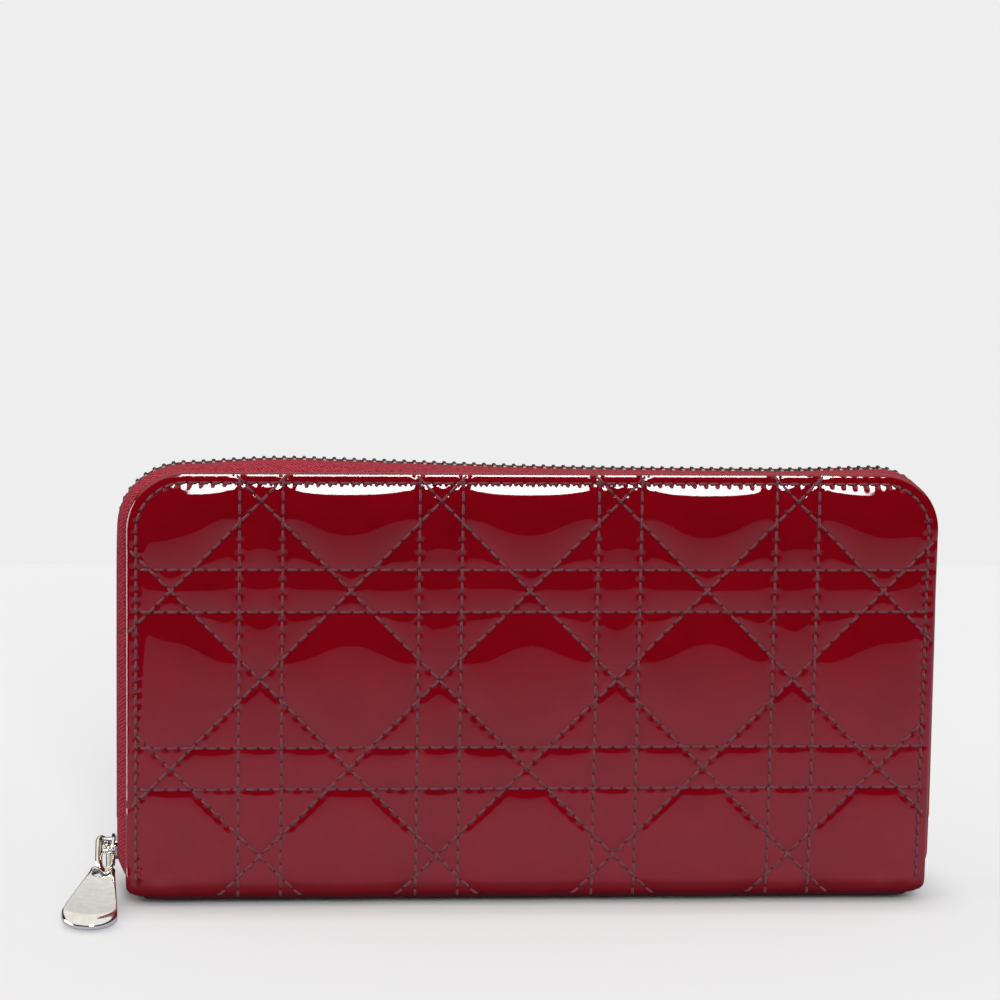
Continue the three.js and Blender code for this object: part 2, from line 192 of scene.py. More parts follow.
def piece(name, points, faces, material, uv=None, smooth=True, sharp=None):
    """A mesh object from points in millimetres. `sharp` keeps edges over that angle crisp."""
    mesh = bpy.data.meshes.new(name)
    mesh.from_pydata((np.asarray(points, float) * MM).tolist(), [], [list(map(int, f)) for f in faces])
    mesh.polygons.foreach_set("use_smooth", [smooth] * len(mesh.polygons))
    if uv is not None:
        index = np.empty(len(mesh.loops), int)
        mesh.loops.foreach_get("vertex_index", index)
        mesh.uv_layers.new(name="UVMap").data.foreach_set("uv", np.asarray(uv, float)[index].ravel())
    if sharp is not None:
        mesh.set_sharp_from_angle(angle=math.radians(sharp))
    mesh.materials.append(material)
    mesh.validate()
    mesh.update()
    obj = bpy.data.objects.new(name, mesh)
    bpy.context.scene.collection.objects.link(obj)
    return obj


def place(obj, body, slot, *nodes):
    """The piece rides on a body and stands for these CAD nodes, which are hidden. `slot` is not used."""
    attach(obj, body)
    if nodes:
        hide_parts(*nodes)
    return obj


def smoothstep(value, low, high):
    t = np.clip((value - low) / (high - low), 0, 1)
    return t * t * (3 - 2 * t)


def squared(wave, power):
    """A sine or cosine raised to a power with its sign kept, which squares a circle off."""
    return np.sign(wave) * np.abs(wave) ** power


# %% [markdown]
# ## Materials
# Patent leather is dyed split leather under a thick clear lacquer. The eye gets two things from
# it: a deep even red from the leather, and sharp mirror images from the lacquer, a little wavy
# because it was poured and dried. A clear coat over a soft base layer does both.

# %% Patent leather
patent, tree, shader = new_material(
    "patent_leather", Roughness=0.5, IOR=1.45, Specular_IOR_Level=0.0,
    Coat_Weight=1.0, Coat_Roughness=0.015, Coat_IOR=1.6)
where = millimetres(tree)
dye = ramp(tree, noise(tree, where, 9.0, 3.0), [(0.3, "#800010"), (0.7, "#8A0112")])
tree.links.new(dye, shader.inputs["Base Color"])
ORANGE_PEEL = 0.004
tree.links.new(bump(tree, noise(tree, where, 2.2, 1.0), ORANGE_PEEL), shader.inputs["Coat Normal"])
GRAIN_DEPTH = 0.02
tree.links.new(bump(tree, noise(tree, where, 0.5, 2.0), GRAIN_DEPTH), shader.inputs["Normal"])

# %% [markdown]
# Sewing thread is bonded polyester: two or three plies twisted together, dull with a slight
# sheen. A slanting wave along each stitch draws the plies, about a third of a millimetre wide.
# The needle holes have their own dark, matt material: its darkness is painted shade for the inside of each hole.

# %% Thread
WAVE_PERIOD = math.pi / 10      # a wave texture of scale 1 repeats after this much
PLY = 0.3619
PLY_SLANT = math.radians(38)


def thread_material(name, dark, light):
    material, tree, shader = new_material(name, Roughness=0.55, IOR=1.5, Sheen_Weight=0.25)
    where = millimetres(tree, uv=True)
    twist = add(tree, "ShaderNodeMapping", {"Vector": where}, {"Rotation": (0, 0, PLY_SLANT)})
    plies = add(tree, "ShaderNodeTexWave", {"Vector": twist.outputs[0]},
                {"Scale": WAVE_PERIOD / PLY, "Distortion": 0.4}).outputs["Fac"]
    tree.links.new(ramp(tree, plies, [(0.1, dark), (0.9, light)]), shader.inputs["Base Color"])
    tree.links.new(bump(tree, plies, 0.06), shader.inputs["Normal"])
    return material


quilt_thread = thread_material("quilting_thread", "#571827", "#8A3344")
edge_thread = thread_material("edge_thread", "#4E1220", "#7E2C3B")
# Painted shade: the holes' dark colour stands for the shadow inside each needle hole.
needle_hole_painted_shade, tree, shader = new_material("needle_hole_shade_painted", Roughness=0.7, IOR=1.45)
where = millimetres(tree)
tree.links.new(ramp(tree, noise(tree, where, 0.4), [(0.3, "#1E0308"), (0.7, "#34060F")]),
               shader.inputs["Base Color"])
tree.links.new(bump(tree, noise(tree, where, 0.2), 0.02), shader.inputs["Normal"])

# %% [markdown]
# Zip tape is woven polyester in a herringbone or twill. It is matt, lighter than the leather
# because light scatters between the yarns, and slightly furry at grazing angles.

# %% Woven cloths


def woven(name, dark, light, yarn, roughness=0.85, uv=True):
    """Twill: two crossed waves of yarn, one of them dominant, with a little unevenness."""
    material, tree, shader = new_material(
        name, Roughness=roughness, IOR=1.5, Specular_IOR_Level=0.12,
        Sheen_Weight=0.04, Sheen_Roughness=0.4)
    where = millimetres(tree, uv)
    slant = add(tree, "ShaderNodeMapping", {"Vector": where}, {"Rotation": (0, 0, math.radians(30))})
    rib = add(tree, "ShaderNodeTexWave", {"Vector": slant.outputs[0]},
              {"Scale": WAVE_PERIOD / yarn, "Distortion": 1.2, "Detail": 2.0},
              bands_direction="X").outputs["Fac"]
    weft = add(tree, "ShaderNodeTexWave", {"Vector": slant.outputs[0]},
               {"Scale": WAVE_PERIOD / yarn, "Distortion": 0.8}, bands_direction="Y").outputs["Fac"]
    both = add(tree, "ShaderNodeMath", {0: rib, 1: weft}, operation="MULTIPLY").outputs[0]
    slubs = noise(tree, where, yarn * 1.4)
    uneven = add(tree, "ShaderNodeMath", {0: both, 1: slubs}, operation="ADD").outputs[0]
    tree.links.new(ramp(tree, uneven, [(0.3, dark), (1.0, light)]), shader.inputs["Base Color"])
    tree.links.new(bump(tree, uneven, yarn * 0.3), shader.inputs["Normal"])
    return material


zip_tape_cloth = woven("zip_tape_twill", "#640B18", "#CE3F50", 0.8)
lining_cloth = woven("lining_twill", "#5E1220", "#8A2A38", 0.45, 0.8, uv=False)

# %% [markdown]
# The teeth and the hardware are plated brass. The plating is pale, slightly warm, and mirror
# bright on the tab, where it was polished; the teeth were tumbled, so they're a little softer.

# %% Plated metals


def plated(name, light, dark, roughness, wear):
    material, tree, shader = new_material(name, Metallic=1.0)
    where = millimetres(tree)
    tone = noise(tree, where, 1.8, 4.0, 0.6)
    tree.links.new(ramp(tree, tone, [(0.3, dark), (0.7, light)]), shader.inputs["Base Color"])
    haze = spread(tree, noise(tree, where, 0.7, 5.0, 0.7), roughness, roughness + wear)
    tree.links.new(haze, shader.inputs["Roughness"])
    scratches = add(tree, "ShaderNodeMapping", {"Vector": where}, {"Scale": (6.0, 0.5, 6.0)})
    lines = noise(tree, scratches.outputs[0], 0.9, 3.0)
    tree.links.new(bump(tree, lines, 0.002), shader.inputs["Normal"])
    return material


teeth_metal = plated("plated_teeth", "#C9C7BC", "#8F8D82", 0.2, 0.16)
polished_metal = plated("polished_plate", "#F2EFE8", "#E4E0D6", 0.04, 0.07)

# %% [markdown]
# Inside, the card pockets and dividers are smooth dyed calf. It has a fine pebble of pores and
# creases about a third of a millimetre across, and a soft satin surface without lacquer.

# %% Inner leather, padding and board
calf, tree, shader = new_material("dyed_calf", Roughness=0.5, IOR=1.45)
where = millimetres(tree)
tree.links.new(ramp(tree, noise(tree, where, 4.0, 4.0), [(0.3, "#5B0E1A"), (0.75, "#7A1A28")]),
               shader.inputs["Base Color"])
CALF_PORE = 0.45
pores = add(tree, "ShaderNodeTexVoronoi", {"Vector": where}, {"Scale": 1 / CALF_PORE},
            feature="DISTANCE_TO_EDGE").outputs["Distance"]
tree.links.new(bump(tree, ramp(tree, pores, [(0.0, "#000000"), (0.12, "#FFFFFF")]), 0.03),
               shader.inputs["Normal"])
tree.links.new(spread(tree, noise(tree, where, 1.2), 0.42, 0.58), shader.inputs["Roughness"])


def fibrous(name, dark, light, size, depth):
    material, tree, shader = new_material(name, Roughness=0.92, IOR=1.45)
    where = millimetres(tree)
    fibres = noise(tree, where, size, 6.0, 0.7)
    tree.links.new(ramp(tree, fibres, [(0.3, dark), (0.7, light)]), shader.inputs["Base Color"])
    tree.links.new(bump(tree, fibres, depth), shader.inputs["Normal"])
    return material


felt = fibrous("felted_padding", "#C9C2B2", "#E4DFD2", 0.6, 0.08)
fibreboard = fibrous("bonded_fibreboard", "#5A4A3A", "#7B6852", 0.9, 0.04)
nylon, tree, shader = new_material("moulded_nylon", Roughness=0.38, IOR=1.53)
where = millimetres(tree)
tree.links.new(ramp(tree, noise(tree, where, 1.0), [(0.3, "#7D1422"), (0.7, "#93202F")]),
               shader.inputs["Base Color"])
tree.links.new(bump(tree, noise(tree, where, 0.4), 0.01), shader.inputs["Normal"])
print(len(bpy.data.materials), "materials")

# %% [markdown]
# ## The skin of the wallet
# One piece of leather runs down a cover, turns under the spine and comes up the other side.
# A place on it is (x, w): x along the wallet, w up the cover. On the flat of the cover w is the
# height; below that it keeps counting, round the turn and along the underside to the middle.

# %% From leather coordinates to space


def skin(x, w, lift=0.0):
    """Point, outward normal and upward tangent of the front skin at (x, w), raised by lift."""
    x, w, lift = np.broadcast_arrays(np.asarray(x, float), w, lift)
    turn = np.clip((RISE - w) / RISE, 0, math.pi / 2)
    under = np.maximum(RISE - TURN - w, 0)
    above = np.maximum(w - RISE, 0)
    y = -FLAT - RISE * np.cos(turn) + under
    z = RISE - RISE * np.sin(turn) + above
    normal = np.stack([0 * x, -np.cos(turn), -np.sin(turn)], -1)
    tangent = np.stack([0 * x, -np.sin(turn), np.cos(turn)], -1)
    return np.stack([x, y, z], -1) + normal * lift[..., None], normal, tangent


def edge_distance(x, w):
    """How far inside the cover's outline a place is."""
    ax = np.abs(x)
    straight = np.minimum(HALF - ax, TOP - w)
    corner = CORNER - np.hypot(ax - HALF + CORNER, w - TOP + CORNER)
    in_corner = (ax > HALF - CORNER) & (w > TOP - CORNER)
    return np.where(in_corner, corner, straight)


# %% [markdown]
# ## The quilting pattern
# The pattern is traditional chair caning: pairs of upright and level lines, crossed by
# diagonals that meet halfway between the pairs. It is worked out from one repeat.

# %% Caning lines
REPEAT_X = 42.6
REPEAT_W = 43.35
PATTERN_X = -1.15              # the quilting was cut a little off the middle
PAIR = 10.2
TOP_PAIR = TOP - 28.35
UPRIGHTS = [PATTERN_X + REPEAT_X * k + s * PAIR / 2 for k in (-1.5, -0.5, 0.5, 1.5) for s in (-1, 1)]
LEVELS = [TOP_PAIR - REPEAT_W * k + s * PAIR / 2 for k in (0, 1, 2) for s in (-1, 1)][:5]
CROSS_X = PATTERN_X + REPEAT_X * 1.5
CROSS_W = TOP_PAIR - REPEAT_W / 2
EDGE_SEAM = 2.5
EDGE_PITCH = 2.75
QUILT_PITCH = 3.15


def quilt_lines():
    """Every quilting line as (start, end) in leather coordinates, a little past the outline."""
    lines = [((x, SPINE_W), (x, TOP)) for x in UPRIGHTS]
    lines += [((-HALF, w), (HALF, w)) for w in LEVELS]
    for slope in (-1, 1):
        for k in range(-8, 9):
            x0, x1 = ((k - slope * (w - CROSS_W) / REPEAT_W) * REPEAT_X + CROSS_X
                      for w in (SPINE_W, TOP))
            if max(x0, x1) >= -HALF and min(x0, x1) <= HALF:
                lines.append(((x0, SPINE_W), (x1, TOP)))
    return lines


def line_distance(x, w):
    """Distance to the nearest quilting line, and the distance along it."""
    nearest = np.full(np.broadcast(x, w).shape, 99.0)
    along = np.zeros_like(nearest)
    for (x0, w0), (x1, w1) in quilt_lines():
        length = math.hypot(x1 - x0, w1 - w0)
        ux, uw = (x1 - x0) / length, (w1 - w0) / length
        d = np.abs((x - x0) * uw - (w - w0) * ux)
        s = (x - x0) * ux + (w - w0) * uw
        closer = d < nearest
        nearest = np.where(closer, d, nearest)
        along = np.where(closer, s, along)
    return nearest, along


print(len(quilt_lines()), "quilting lines")

# %% [markdown]
# ## Pillows
# Padding pushes the leather out and the seams hold it down. Cloth simulation would work, but a
# thin pad sewn every centimetre is almost a membrane under pressure, so its height is solved
# on a grid: it relaxes towards a set fullness everywhere and is pinned to zero on every seam.

# %% Solve the pillow height
STEP = 0.5
FULLNESS = 1.3
STIFF = 6.2
PASSES = 500
PINNED = 0.3                   # leather this close to a seam is held down
SEAM_SOFTNESS = 0.7
grid_x = np.arange(-HALF, HALF + STEP / 2, STEP)
grid_w = np.arange(SPINE_W - STEP, TOP + STEP, STEP)
mesh_x, mesh_w = np.meshgrid(grid_x, grid_w)
seam_distance, seam_along = line_distance(mesh_x, mesh_w)
rim_distance = edge_distance(mesh_x, mesh_w)
edge_seam_distance = np.abs(rim_distance - EDGE_SEAM)
free = (seam_distance > PINNED) & (edge_seam_distance > PINNED) & (rim_distance > 0)
height = np.zeros_like(mesh_x)
pull = (STEP / STIFF) ** 2
for _ in range(PASSES):
    around = np.zeros_like(height)
    around[1:-1, 1:-1] = height[:-2, 1:-1] + height[2:, 1:-1] + height[1:-1, :-2] + height[1:-1, 2:]
    around[0], around[-1] = 4 * height[1], 0
    height = np.where(free, (around + pull * FULLNESS) / (4 + pull), 0)
height *= 1 - np.exp(-(seam_distance / SEAM_SOFTNESS) ** 2)
print(f"pillows rise {height.max():.2f} mm")

# %% [markdown]
# Needle holes pull the leather down once a stitch, and the hide is never quite flat. The
# covers also fall back a little towards the zip, so the top seam leans up to the light, and
# each foot has a small dimple where the leather was turned in.

# %% Puckers, waves and the cover's crown
PUCKER, PUCKER_WIDE, EDGE_PUCKER_WIDE = 0.16, 0.6, 0.75
WAVE = 0.12
EDGE_FROM = 0.5
DIMPLE, DIMPLES_AT, DIMPLE_W, DIMPLE_WIDE, DIMPLE_TALL = 0.5, (-88.5, 86.0), 8.5, 2.2, 2.6
CROWN_BAND, CROWN_CURVE = 11, 0.011
SIDE_BAND, SIDE_CURVE = 9, 0.007
CAMBER = 1.1


def edge_along(x, w):
    """Distance along the edge seam, from its start at the left foot."""
    side, top = TOP - CORNER - EDGE_FROM, 2 * (HALF - CORNER)
    arc = (CORNER - EDGE_SEAM) * math.pi / 2
    over_x, over_w = np.abs(x) - HALF + CORNER, w - TOP + CORNER
    angle = np.arctan2(np.maximum(over_w, 0), np.maximum(over_x, 1e-6))
    climb = np.minimum(w, TOP - CORNER) - EDGE_FROM + angle * (CORNER - EDGE_SEAM)
    on_top = side + arc + x + HALF - CORNER
    on_side = np.where(x < 0, climb, 2 * (side + arc) + top - climb)
    return np.where(np.abs(x) < HALF - CORNER, on_top, on_side)


wave_phase = np.random.default_rng(4).uniform(0, 2 * math.pi, (6, 2))
wave = sum(np.sin(mesh_x / (7 + 3.1 * i) + a) * np.sin(mesh_w / (6 + 2.3 * i) + b)
           for i, (a, b) in enumerate(wave_phase)) / 6
quilt_wave = 0.5 + 0.5 * np.cos(2 * math.pi * seam_along / QUILT_PITCH)
pucker = np.exp(-(seam_distance / PUCKER_WIDE) ** 2) * quilt_wave
edge_wave = 0.5 + 0.5 * np.cos(2 * math.pi * edge_along(mesh_x, mesh_w) / EDGE_PITCH)
pucker += 1.2 * np.exp(-(edge_seam_distance / EDGE_PUCKER_WIDE) ** 2) * edge_wave
height += WAVE * wave * smoothstep(seam_distance, 0.0, 5.0) - PUCKER * pucker
for dimple_x in DIMPLES_AT:
    height -= DIMPLE * np.exp(-((mesh_x - dimple_x) / DIMPLE_WIDE) ** 2
                              - ((mesh_w - DIMPLE_W) / DIMPLE_TALL) ** 2)
crown = (CROWN_CURVE * np.maximum(mesh_w - TOP + CROWN_BAND, 0) ** 2
         + SIDE_CURVE * np.maximum(np.abs(mesh_x) - HALF + SIDE_BAND, 0) ** 2)
on_cover = smoothstep(mesh_w, -3.0, 7.0)
camber = CAMBER * smoothstep(mesh_w, SPINE_W + 1, RISE - TURN) * (1 - smoothstep(mesh_w, 0.5, 7.0))
relief = height * on_cover - crown - camber


def relief_at(x, w):
    """The solved relief at any place, by bilinear interpolation."""
    fx = np.clip((np.asarray(x) - grid_x[0]) / STEP, 0, len(grid_x) - 1.001)
    fw = np.clip((np.asarray(w) - grid_w[0]) / STEP, 0, len(grid_w) - 1.001)
    i, j = fw.astype(int), fx.astype(int)
    b, a = fw - i, fx - j
    return ((1 - b) * ((1 - a) * relief[i, j] + a * relief[i, j + 1])
            + b * ((1 - a) * relief[i + 1, j] + a * relief[i + 1, j + 1]))


# %% [markdown]
# ## The leather covers
# Each cover's leather is a fine grid that follows the rounded outline, then rolls over the rim
# and turns in, as a folded edge does. Front and back are the same shape, mirrored.

# %% Build one cover's leather
RIM = 0.95
FOOT_CORNER = 4.2
FOOT_AT = 1.2
COLUMNS = 373
ROW = 0.52
RIM_STEPS = 8
TURN_IN = 4.0


def leather_rows():
    """The rows' places up the cover, their half widths, one rim inside the outline, and the
    angle at which the outline faces upward there."""
    straight = np.arange(SPINE_W, TOP - CORNER, ROW)
    angle = np.linspace(0, math.pi / 2, 40)
    radius = CORNER - RIM
    w = np.concatenate([straight, TOP - CORNER + radius * np.sin(angle)])
    drop = np.clip(FOOT_CORNER + FOOT_AT - straight, 0, FOOT_CORNER)
    tuck = FOOT_CORNER - np.sqrt(FOOT_CORNER ** 2 - drop ** 2)
    half = np.concatenate([HALF - RIM - tuck, HALF - CORNER + radius * np.cos(angle)])
    out = np.concatenate([np.zeros(len(straight)), angle])
    return w, half, out


def leather_points():
    """The face's grid of points, the rings that roll over its rim, and the rim's first ring."""
    w, half, out = leather_rows()
    t = np.linspace(-1, 1, COLUMNS)
    x = half[:, None] * t[None, :]
    ww = np.repeat(w[:, None], COLUMNS, 1)
    face, normal, _ = skin(x, ww, relief_at(x, ww))
    rows = len(w)
    left = np.arange(rows)
    border = [(r, 0, -math.cos(out[r]), math.sin(out[r])) for r in left]
    border += [(rows - 1, c, 0.0, 1.0) for c in range(1, COLUMNS - 1)]
    border += [(r, COLUMNS - 1, math.cos(out[r]), math.sin(out[r])) for r in left[::-1]]
    r, c = np.array([b[0] for b in border]), np.array([b[1] for b in border])
    side = np.array([b[2] for b in border])
    rise = np.array([b[3] for b in border])
    start, skin_normal = face[r, c], normal[r, c]
    _, _, up = skin(x[r, c], ww[r, c])
    outward = side[:, None] * np.array([1.0, 0, 0]) + rise[:, None] * up
    rings = []
    for k in range(1, RIM_STEPS + 1):
        a = math.pi * k / RIM_STEPS
        rings.append(start - skin_normal * RIM * (1 - math.cos(a)) + outward * RIM * math.sin(a))
    rings.append(rings[-1] - outward * TURN_IN)
    first = r * COLUMNS + c
    return face, np.array(rings), first


BACK_DROP, SETTLE_FROM = 3.2, 84        # how far the back's top has sunk, and from what height


def settled(points):
    """Points of the back half, moved down as its top has sunk."""
    points[:, 2] -= BACK_DROP * smoothstep(points[:, 2], SETTLE_FROM, TOP)
    return points


def mirrored(points):
    """The back cover mirrors the front, apart from where it has settled."""
    return settled(points * np.array([1, -1, 1]))


def cover_leather(name, mirror):
    face, rings, first = leather_points()
    rows = face.shape[0]
    points = np.concatenate([face.reshape(-1, 3), rings.reshape(-1, 3)])
    faces = [grid_faces(rows, COLUMNS, flip=mirror)]
    count = rings.shape[1]
    base = rows * COLUMNS
    ids = np.concatenate([first[None, :], base + np.arange(rings.shape[0] * count).reshape(-1, count)])
    a, b, c, d = ids[:-1, :-1], ids[:-1, 1:], ids[1:, 1:], ids[1:, :-1]
    rim = np.stack([a, b, c, d], -1).reshape(-1, 4)
    faces.append(rim[:, ::-1] if mirror else rim)
    if mirror:
        points = mirrored(points)
    return piece(name, points, np.concatenate(faces), patent)


def bends(obj, half, slot, *nodes):
    """Leather and thread that cross the fold between the spine and a cover: the mesh is baked where it stands and
    the CAD nodes it stands for are hidden.
    """
    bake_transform(obj)
    if nodes:
        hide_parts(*nodes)


front_leather = cover_leather("front_leather", False)
back_leather = cover_leather("back_leather", True)
bends(front_leather, "front_half", "patent_leather", "front_cover", "spine_leather")
bends(back_leather, "back_half", "patent_leather", "back_cover")
print(len(front_leather.data.polygons), "faces in each cover")

# %% [markdown]
# ## Stitches
# Each stitch is its own short length of thread: it comes up through one hole, lies proud of
# the leather and dives into the next. A loop makes every seam from its line and its pitch. The
# needle holes are the same short tubes, half a stitch further on, wide and almost flush, and
# their dark colour is painted shade for the inside of each hole.

# %% Build stitches along a seam
THREAD = 0.34
STITCH_POINTS = 7
STITCH_SIDES = 7
STITCH_GAP = 0.45
HOLE_LONG, HOLE_HALF, HOLE_PROUD = 0.8, 0.31, 0.15
SEAM_MARGIN = 0.3               # quilting stops this far inside the outline


def rim_drop(x, w):
    """How far the leather has rolled back at a place on the rim."""
    near = np.clip(1 - edge_distance(x, w) / RIM, 0, 1)
    return RIM * (1 - np.sqrt(1 - near ** 2))


def stitch_seam(x, w, begin, pitch, thread=THREAD, gap=STITCH_GAP, proud=1.3):
    """Points and UVs of the stitches along a polyline, which begins this far along its own line."""
    length = np.concatenate([[0], np.cumsum(np.hypot(np.diff(x), np.diff(w)))])
    first = -begin % pitch
    count = int((length[-1] - first) // pitch)
    start = first + np.arange(count)[:, None] * pitch + gap / 2
    t = np.linspace(0, 1, STITCH_POINTS)[None, :]
    s = start + t * (pitch - gap)
    px, pw = np.interp(s, length, x), np.interp(s, length, w)
    ahead = 0.05
    dx = np.interp(s + ahead, length, x) - np.interp(s - ahead, length, x)
    dw = np.interp(s + ahead, length, w) - np.interp(s - ahead, length, w)
    size = np.hypot(dx, dw) + 1e-9
    dx, dw = dx / size, dw / size
    arch = np.sin(math.pi * t) ** 0.4
    lift = relief_at(px, pw) - rim_drop(px, pw) + thread * (proud * arch - 0.7)
    centre, normal, up = skin(px, pw, lift)
    side = (-dw)[..., None] * np.array([1.0, 0, 0]) + dx[..., None] * up
    angle = np.linspace(0, 2 * math.pi, STITCH_SIDES, endpoint=False)
    radius = thread * (0.62 + 0.38 * arch) * np.ones_like(s)
    ring = (np.cos(angle)[:, None] * side[..., None, :] + np.sin(angle)[:, None] * normal[..., None, :])
    points = centre[..., None, :] + ring * radius[..., None, None]
    uv = np.stack(np.broadcast_arrays(s[..., None], angle * thread), -1)
    return points, uv


def stitches(name, seams, pitch, material, mirror=False, thread=THREAD, gap=STITCH_GAP, proud=1.3):
    """One mesh for many seams. Each stitch is a small closed tube."""
    all_points, all_uv, faces, base = [], [], [], 0
    block = STITCH_POINTS * STITCH_SIDES
    tube = grid_faces(STITCH_POINTS, STITCH_SIDES, close_cols=True, flip=not mirror)
    ends = [list(range(STITCH_SIDES)), list(range(block - STITCH_SIDES, block))]
    caps = [ends[0] if not mirror else ends[0][::-1], ends[1][::-1] if not mirror else ends[1]]
    for x, w, begin in seams:
        points, uv = stitch_seam(np.asarray(x, float), np.asarray(w, float), begin, pitch,
                                 thread, gap, proud)
        for k in range(points.shape[0]):
            all_points.append(points[k].reshape(-1, 3))
            all_uv.append(uv[k].reshape(-1, 2))
            faces.extend((tube + base).tolist())
            faces.extend([[i + base for i in cap] for cap in caps])
            base += block
    points = np.concatenate(all_points)
    if mirror:
        points = mirrored(points)
    return piece(name, points, faces, material, uv=np.concatenate(all_uv))


def clipped(line):
    """The stretch of a quilting line inside the outline, and how far along the line it begins."""
    (x0, w0), (x1, w1) = line
    t = np.linspace(0, 1, 1200)
    x, w = x0 + (x1 - x0) * t, w0 + (w1 - w0) * t
    off_foot = (w > FOOT_AT + FOOT_CORNER) | (np.abs(x) < HALF - FOOT_AT - FOOT_CORNER)
    inside = (edge_distance(x, w) > SEAM_MARGIN) & (w > FOOT_AT) & off_foot
    begin = t[inside][0] * math.hypot(x1 - x0, w1 - w0) if inside.any() else 0.0
    return x[inside], w[inside], begin


def perimeter(inset, from_w):
    """A seam that runs up one side, round both corners and down the other, inside the outline."""
    angle = np.linspace(0, math.pi / 2, 40)
    radius = CORNER - inset
    cx, cw = HALF - CORNER, TOP - CORNER
    left_x, left_w = -cx - radius * np.cos(angle), cw + radius * np.sin(angle)
    x = np.concatenate([[-HALF + inset], left_x, -left_x[::-1], [HALF - inset]])
    w = np.concatenate([[from_w], left_w, left_w[::-1], [from_w]])
    return x, w, 0.0


quilt_seams = [clipped(line) for line in quilt_lines()]
quilt_seams = [seam for seam in quilt_seams if len(seam[0]) > 20]
edge_seam = [perimeter(EDGE_SEAM, EDGE_FROM + 2 * EDGE_PITCH)]
quilt_holes = [(x, w, begin + QUILT_PITCH / 2) for x, w, begin in quilt_seams]
edge_holes = [(x, w, begin + EDGE_PITCH / 2) for x, w, begin in edge_seam]
for side, half, mirror in (("front", "front_half", False), ("back", "back_half", True)):
    for seam, holes, pitch in (("quilting", quilt_holes, QUILT_PITCH), ("edge", edge_holes, EDGE_PITCH)):
        pricked = stitches(f"{side}_{seam}_needle_holes", holes, pitch, needle_hole_painted_shade, mirror, HOLE_HALF,
                           pitch - HOLE_LONG, HOLE_PROUD)
        bends(pricked, half, "patent_leather")
    quilting = stitches(f"{side}_quilting", quilt_seams, QUILT_PITCH, quilt_thread, mirror)
    edging = stitches(f"{side}_edge_stitching", edge_seam, EDGE_PITCH, edge_thread, mirror)
    bends(quilting, half, "patent_leather")
    bends(edging, half, "patent_leather")
    print(side, len(quilting.data.polygons), "faces of quilting thread")

# %% [markdown]
# ## The zip
# The tape is a woven strip that comes out from under the rim and curves up to the teeth. The
# real one isn't straight: it dips at the first corner and has sunk between the covers along the
# top. SAG says how far out of the outline it stands, at shares of the way from foot to foot.

# %% The path of the zip
TAPE_END = float(box_mm("front_zip_tape")[0][2])
TEETH_MID = float(-(box_mm("front_zip_teeth")[0][0] + HALF) - 1.1)
SAG_AT = [0.0, 0.05, 0.12, 0.19, 0.215, 0.24, 0.265, 0.30, 0.33, 0.42, 0.49, 0.55, 0.68, 0.76, 0.84, 1.0]
SAG = [0.2, 0.2, 0.2, 0.15, 0.0, -1.7, -2.1, -1.0, -0.5, -1.6, -2.5, -2.9, -3.2, -2.3, -0.5, 0.0]


def zip_path(foot, step):
    """Places along the outline from the left foot to the right one, and their outward directions."""
    side = TOP - CORNER - foot
    arc = CORNER * math.pi / 2
    flat = 2 * (HALF - CORNER)
    total = 2 * side + 2 * arc + flat
    s = np.arange(0, total + step / 2, step)
    a = np.clip((s - side) / CORNER, 0, math.pi / 2)
    b = np.clip((s - side - arc - flat) / CORNER, 0, math.pi / 2)
    turn = a + b
    ox, oz = -np.cos(turn), np.sin(turn)
    along = np.clip(s - side - arc, 0, flat)
    up = np.minimum(s, side) - np.maximum(s - side - 2 * arc - flat, 0)
    x = np.where(turn < math.pi / 2, -(HALF - CORNER), -(HALF - CORNER) + along)
    x = np.where(b > 0, HALF - CORNER, x) + CORNER * ox
    z = foot + up + CORNER * oz
    return s, x, z, ox, oz, np.interp(s / total, SAG_AT, SAG)


def smooth_sag(sag, passes=40):
    for _ in range(passes):
        sag = np.concatenate([[sag[0]], (sag[:-2] + sag[1:-1] + sag[2:]) / 3, [sag[-1]]])
    return sag


# %% Zip tape
TAPE_THICK = 0.5
TAPE_FROM, TAPE_TO = 11.0, 2.5
TAPE_STEPS = 14
TAPE_OVER, BACK_TAPE_LOW = 0.55, 0.5


def tape_profile(q, sag, side):
    """Distance from the middle plane and height over the outline, from the rim (0) to the teeth (1)."""
    depth = TAPE_FROM + (TAPE_TO - TAPE_FROM) * q
    hidden = 1.2 if side < 0 else 1.2 + BACK_DROP
    over = TAPE_OVER if side < 0 else TAPE_OVER - BACK_TAPE_LOW
    rise = -hidden + (TEETH_MID + over + hidden + sag) * np.sin(q * math.pi / 2) ** 0.8
    return depth, rise


def zip_tape(name, side, path):
    s, x, z, ox, oz, sag = path
    q = np.linspace(0, 1, TAPE_STEPS)[None, :]
    depth, rise = tape_profile(q, sag[:, None], side)
    layers = []
    for offset in (TAPE_THICK / 2, -TAPE_THICK / 2):
        layers.append(np.stack([
            x[:, None] + ox[:, None] * (rise + offset),
            side * depth * np.ones_like(rise),
            z[:, None] + oz[:, None] * (rise + offset)], -1))
    ring = np.concatenate([layers[0], layers[1][:, ::-1]], 1)
    rows, cols = ring.shape[:2]
    faces = grid_faces(rows, cols, close_cols=True, flip=side < 0).tolist()
    first, last = list(range(cols)), list(range((rows - 1) * cols, rows * cols))
    faces += [first, last[::-1]] if side > 0 else [first[::-1], last]
    across = np.concatenate([depth[0], depth[0][::-1]])
    uv = np.stack(np.broadcast_arrays(s[:, None], across[None, :]), -1).reshape(-1, 2)
    return piece(name, ring.reshape(-1, 3), faces, zip_tape_cloth, uv=uv, sharp=60)


# %% [markdown]
# Each tooth is a stamped claw clamped on the tape's edge: a foot that grips the cord, a neck,
# and a rounded head that reaches past the middle to lock between two teeth of the other row.

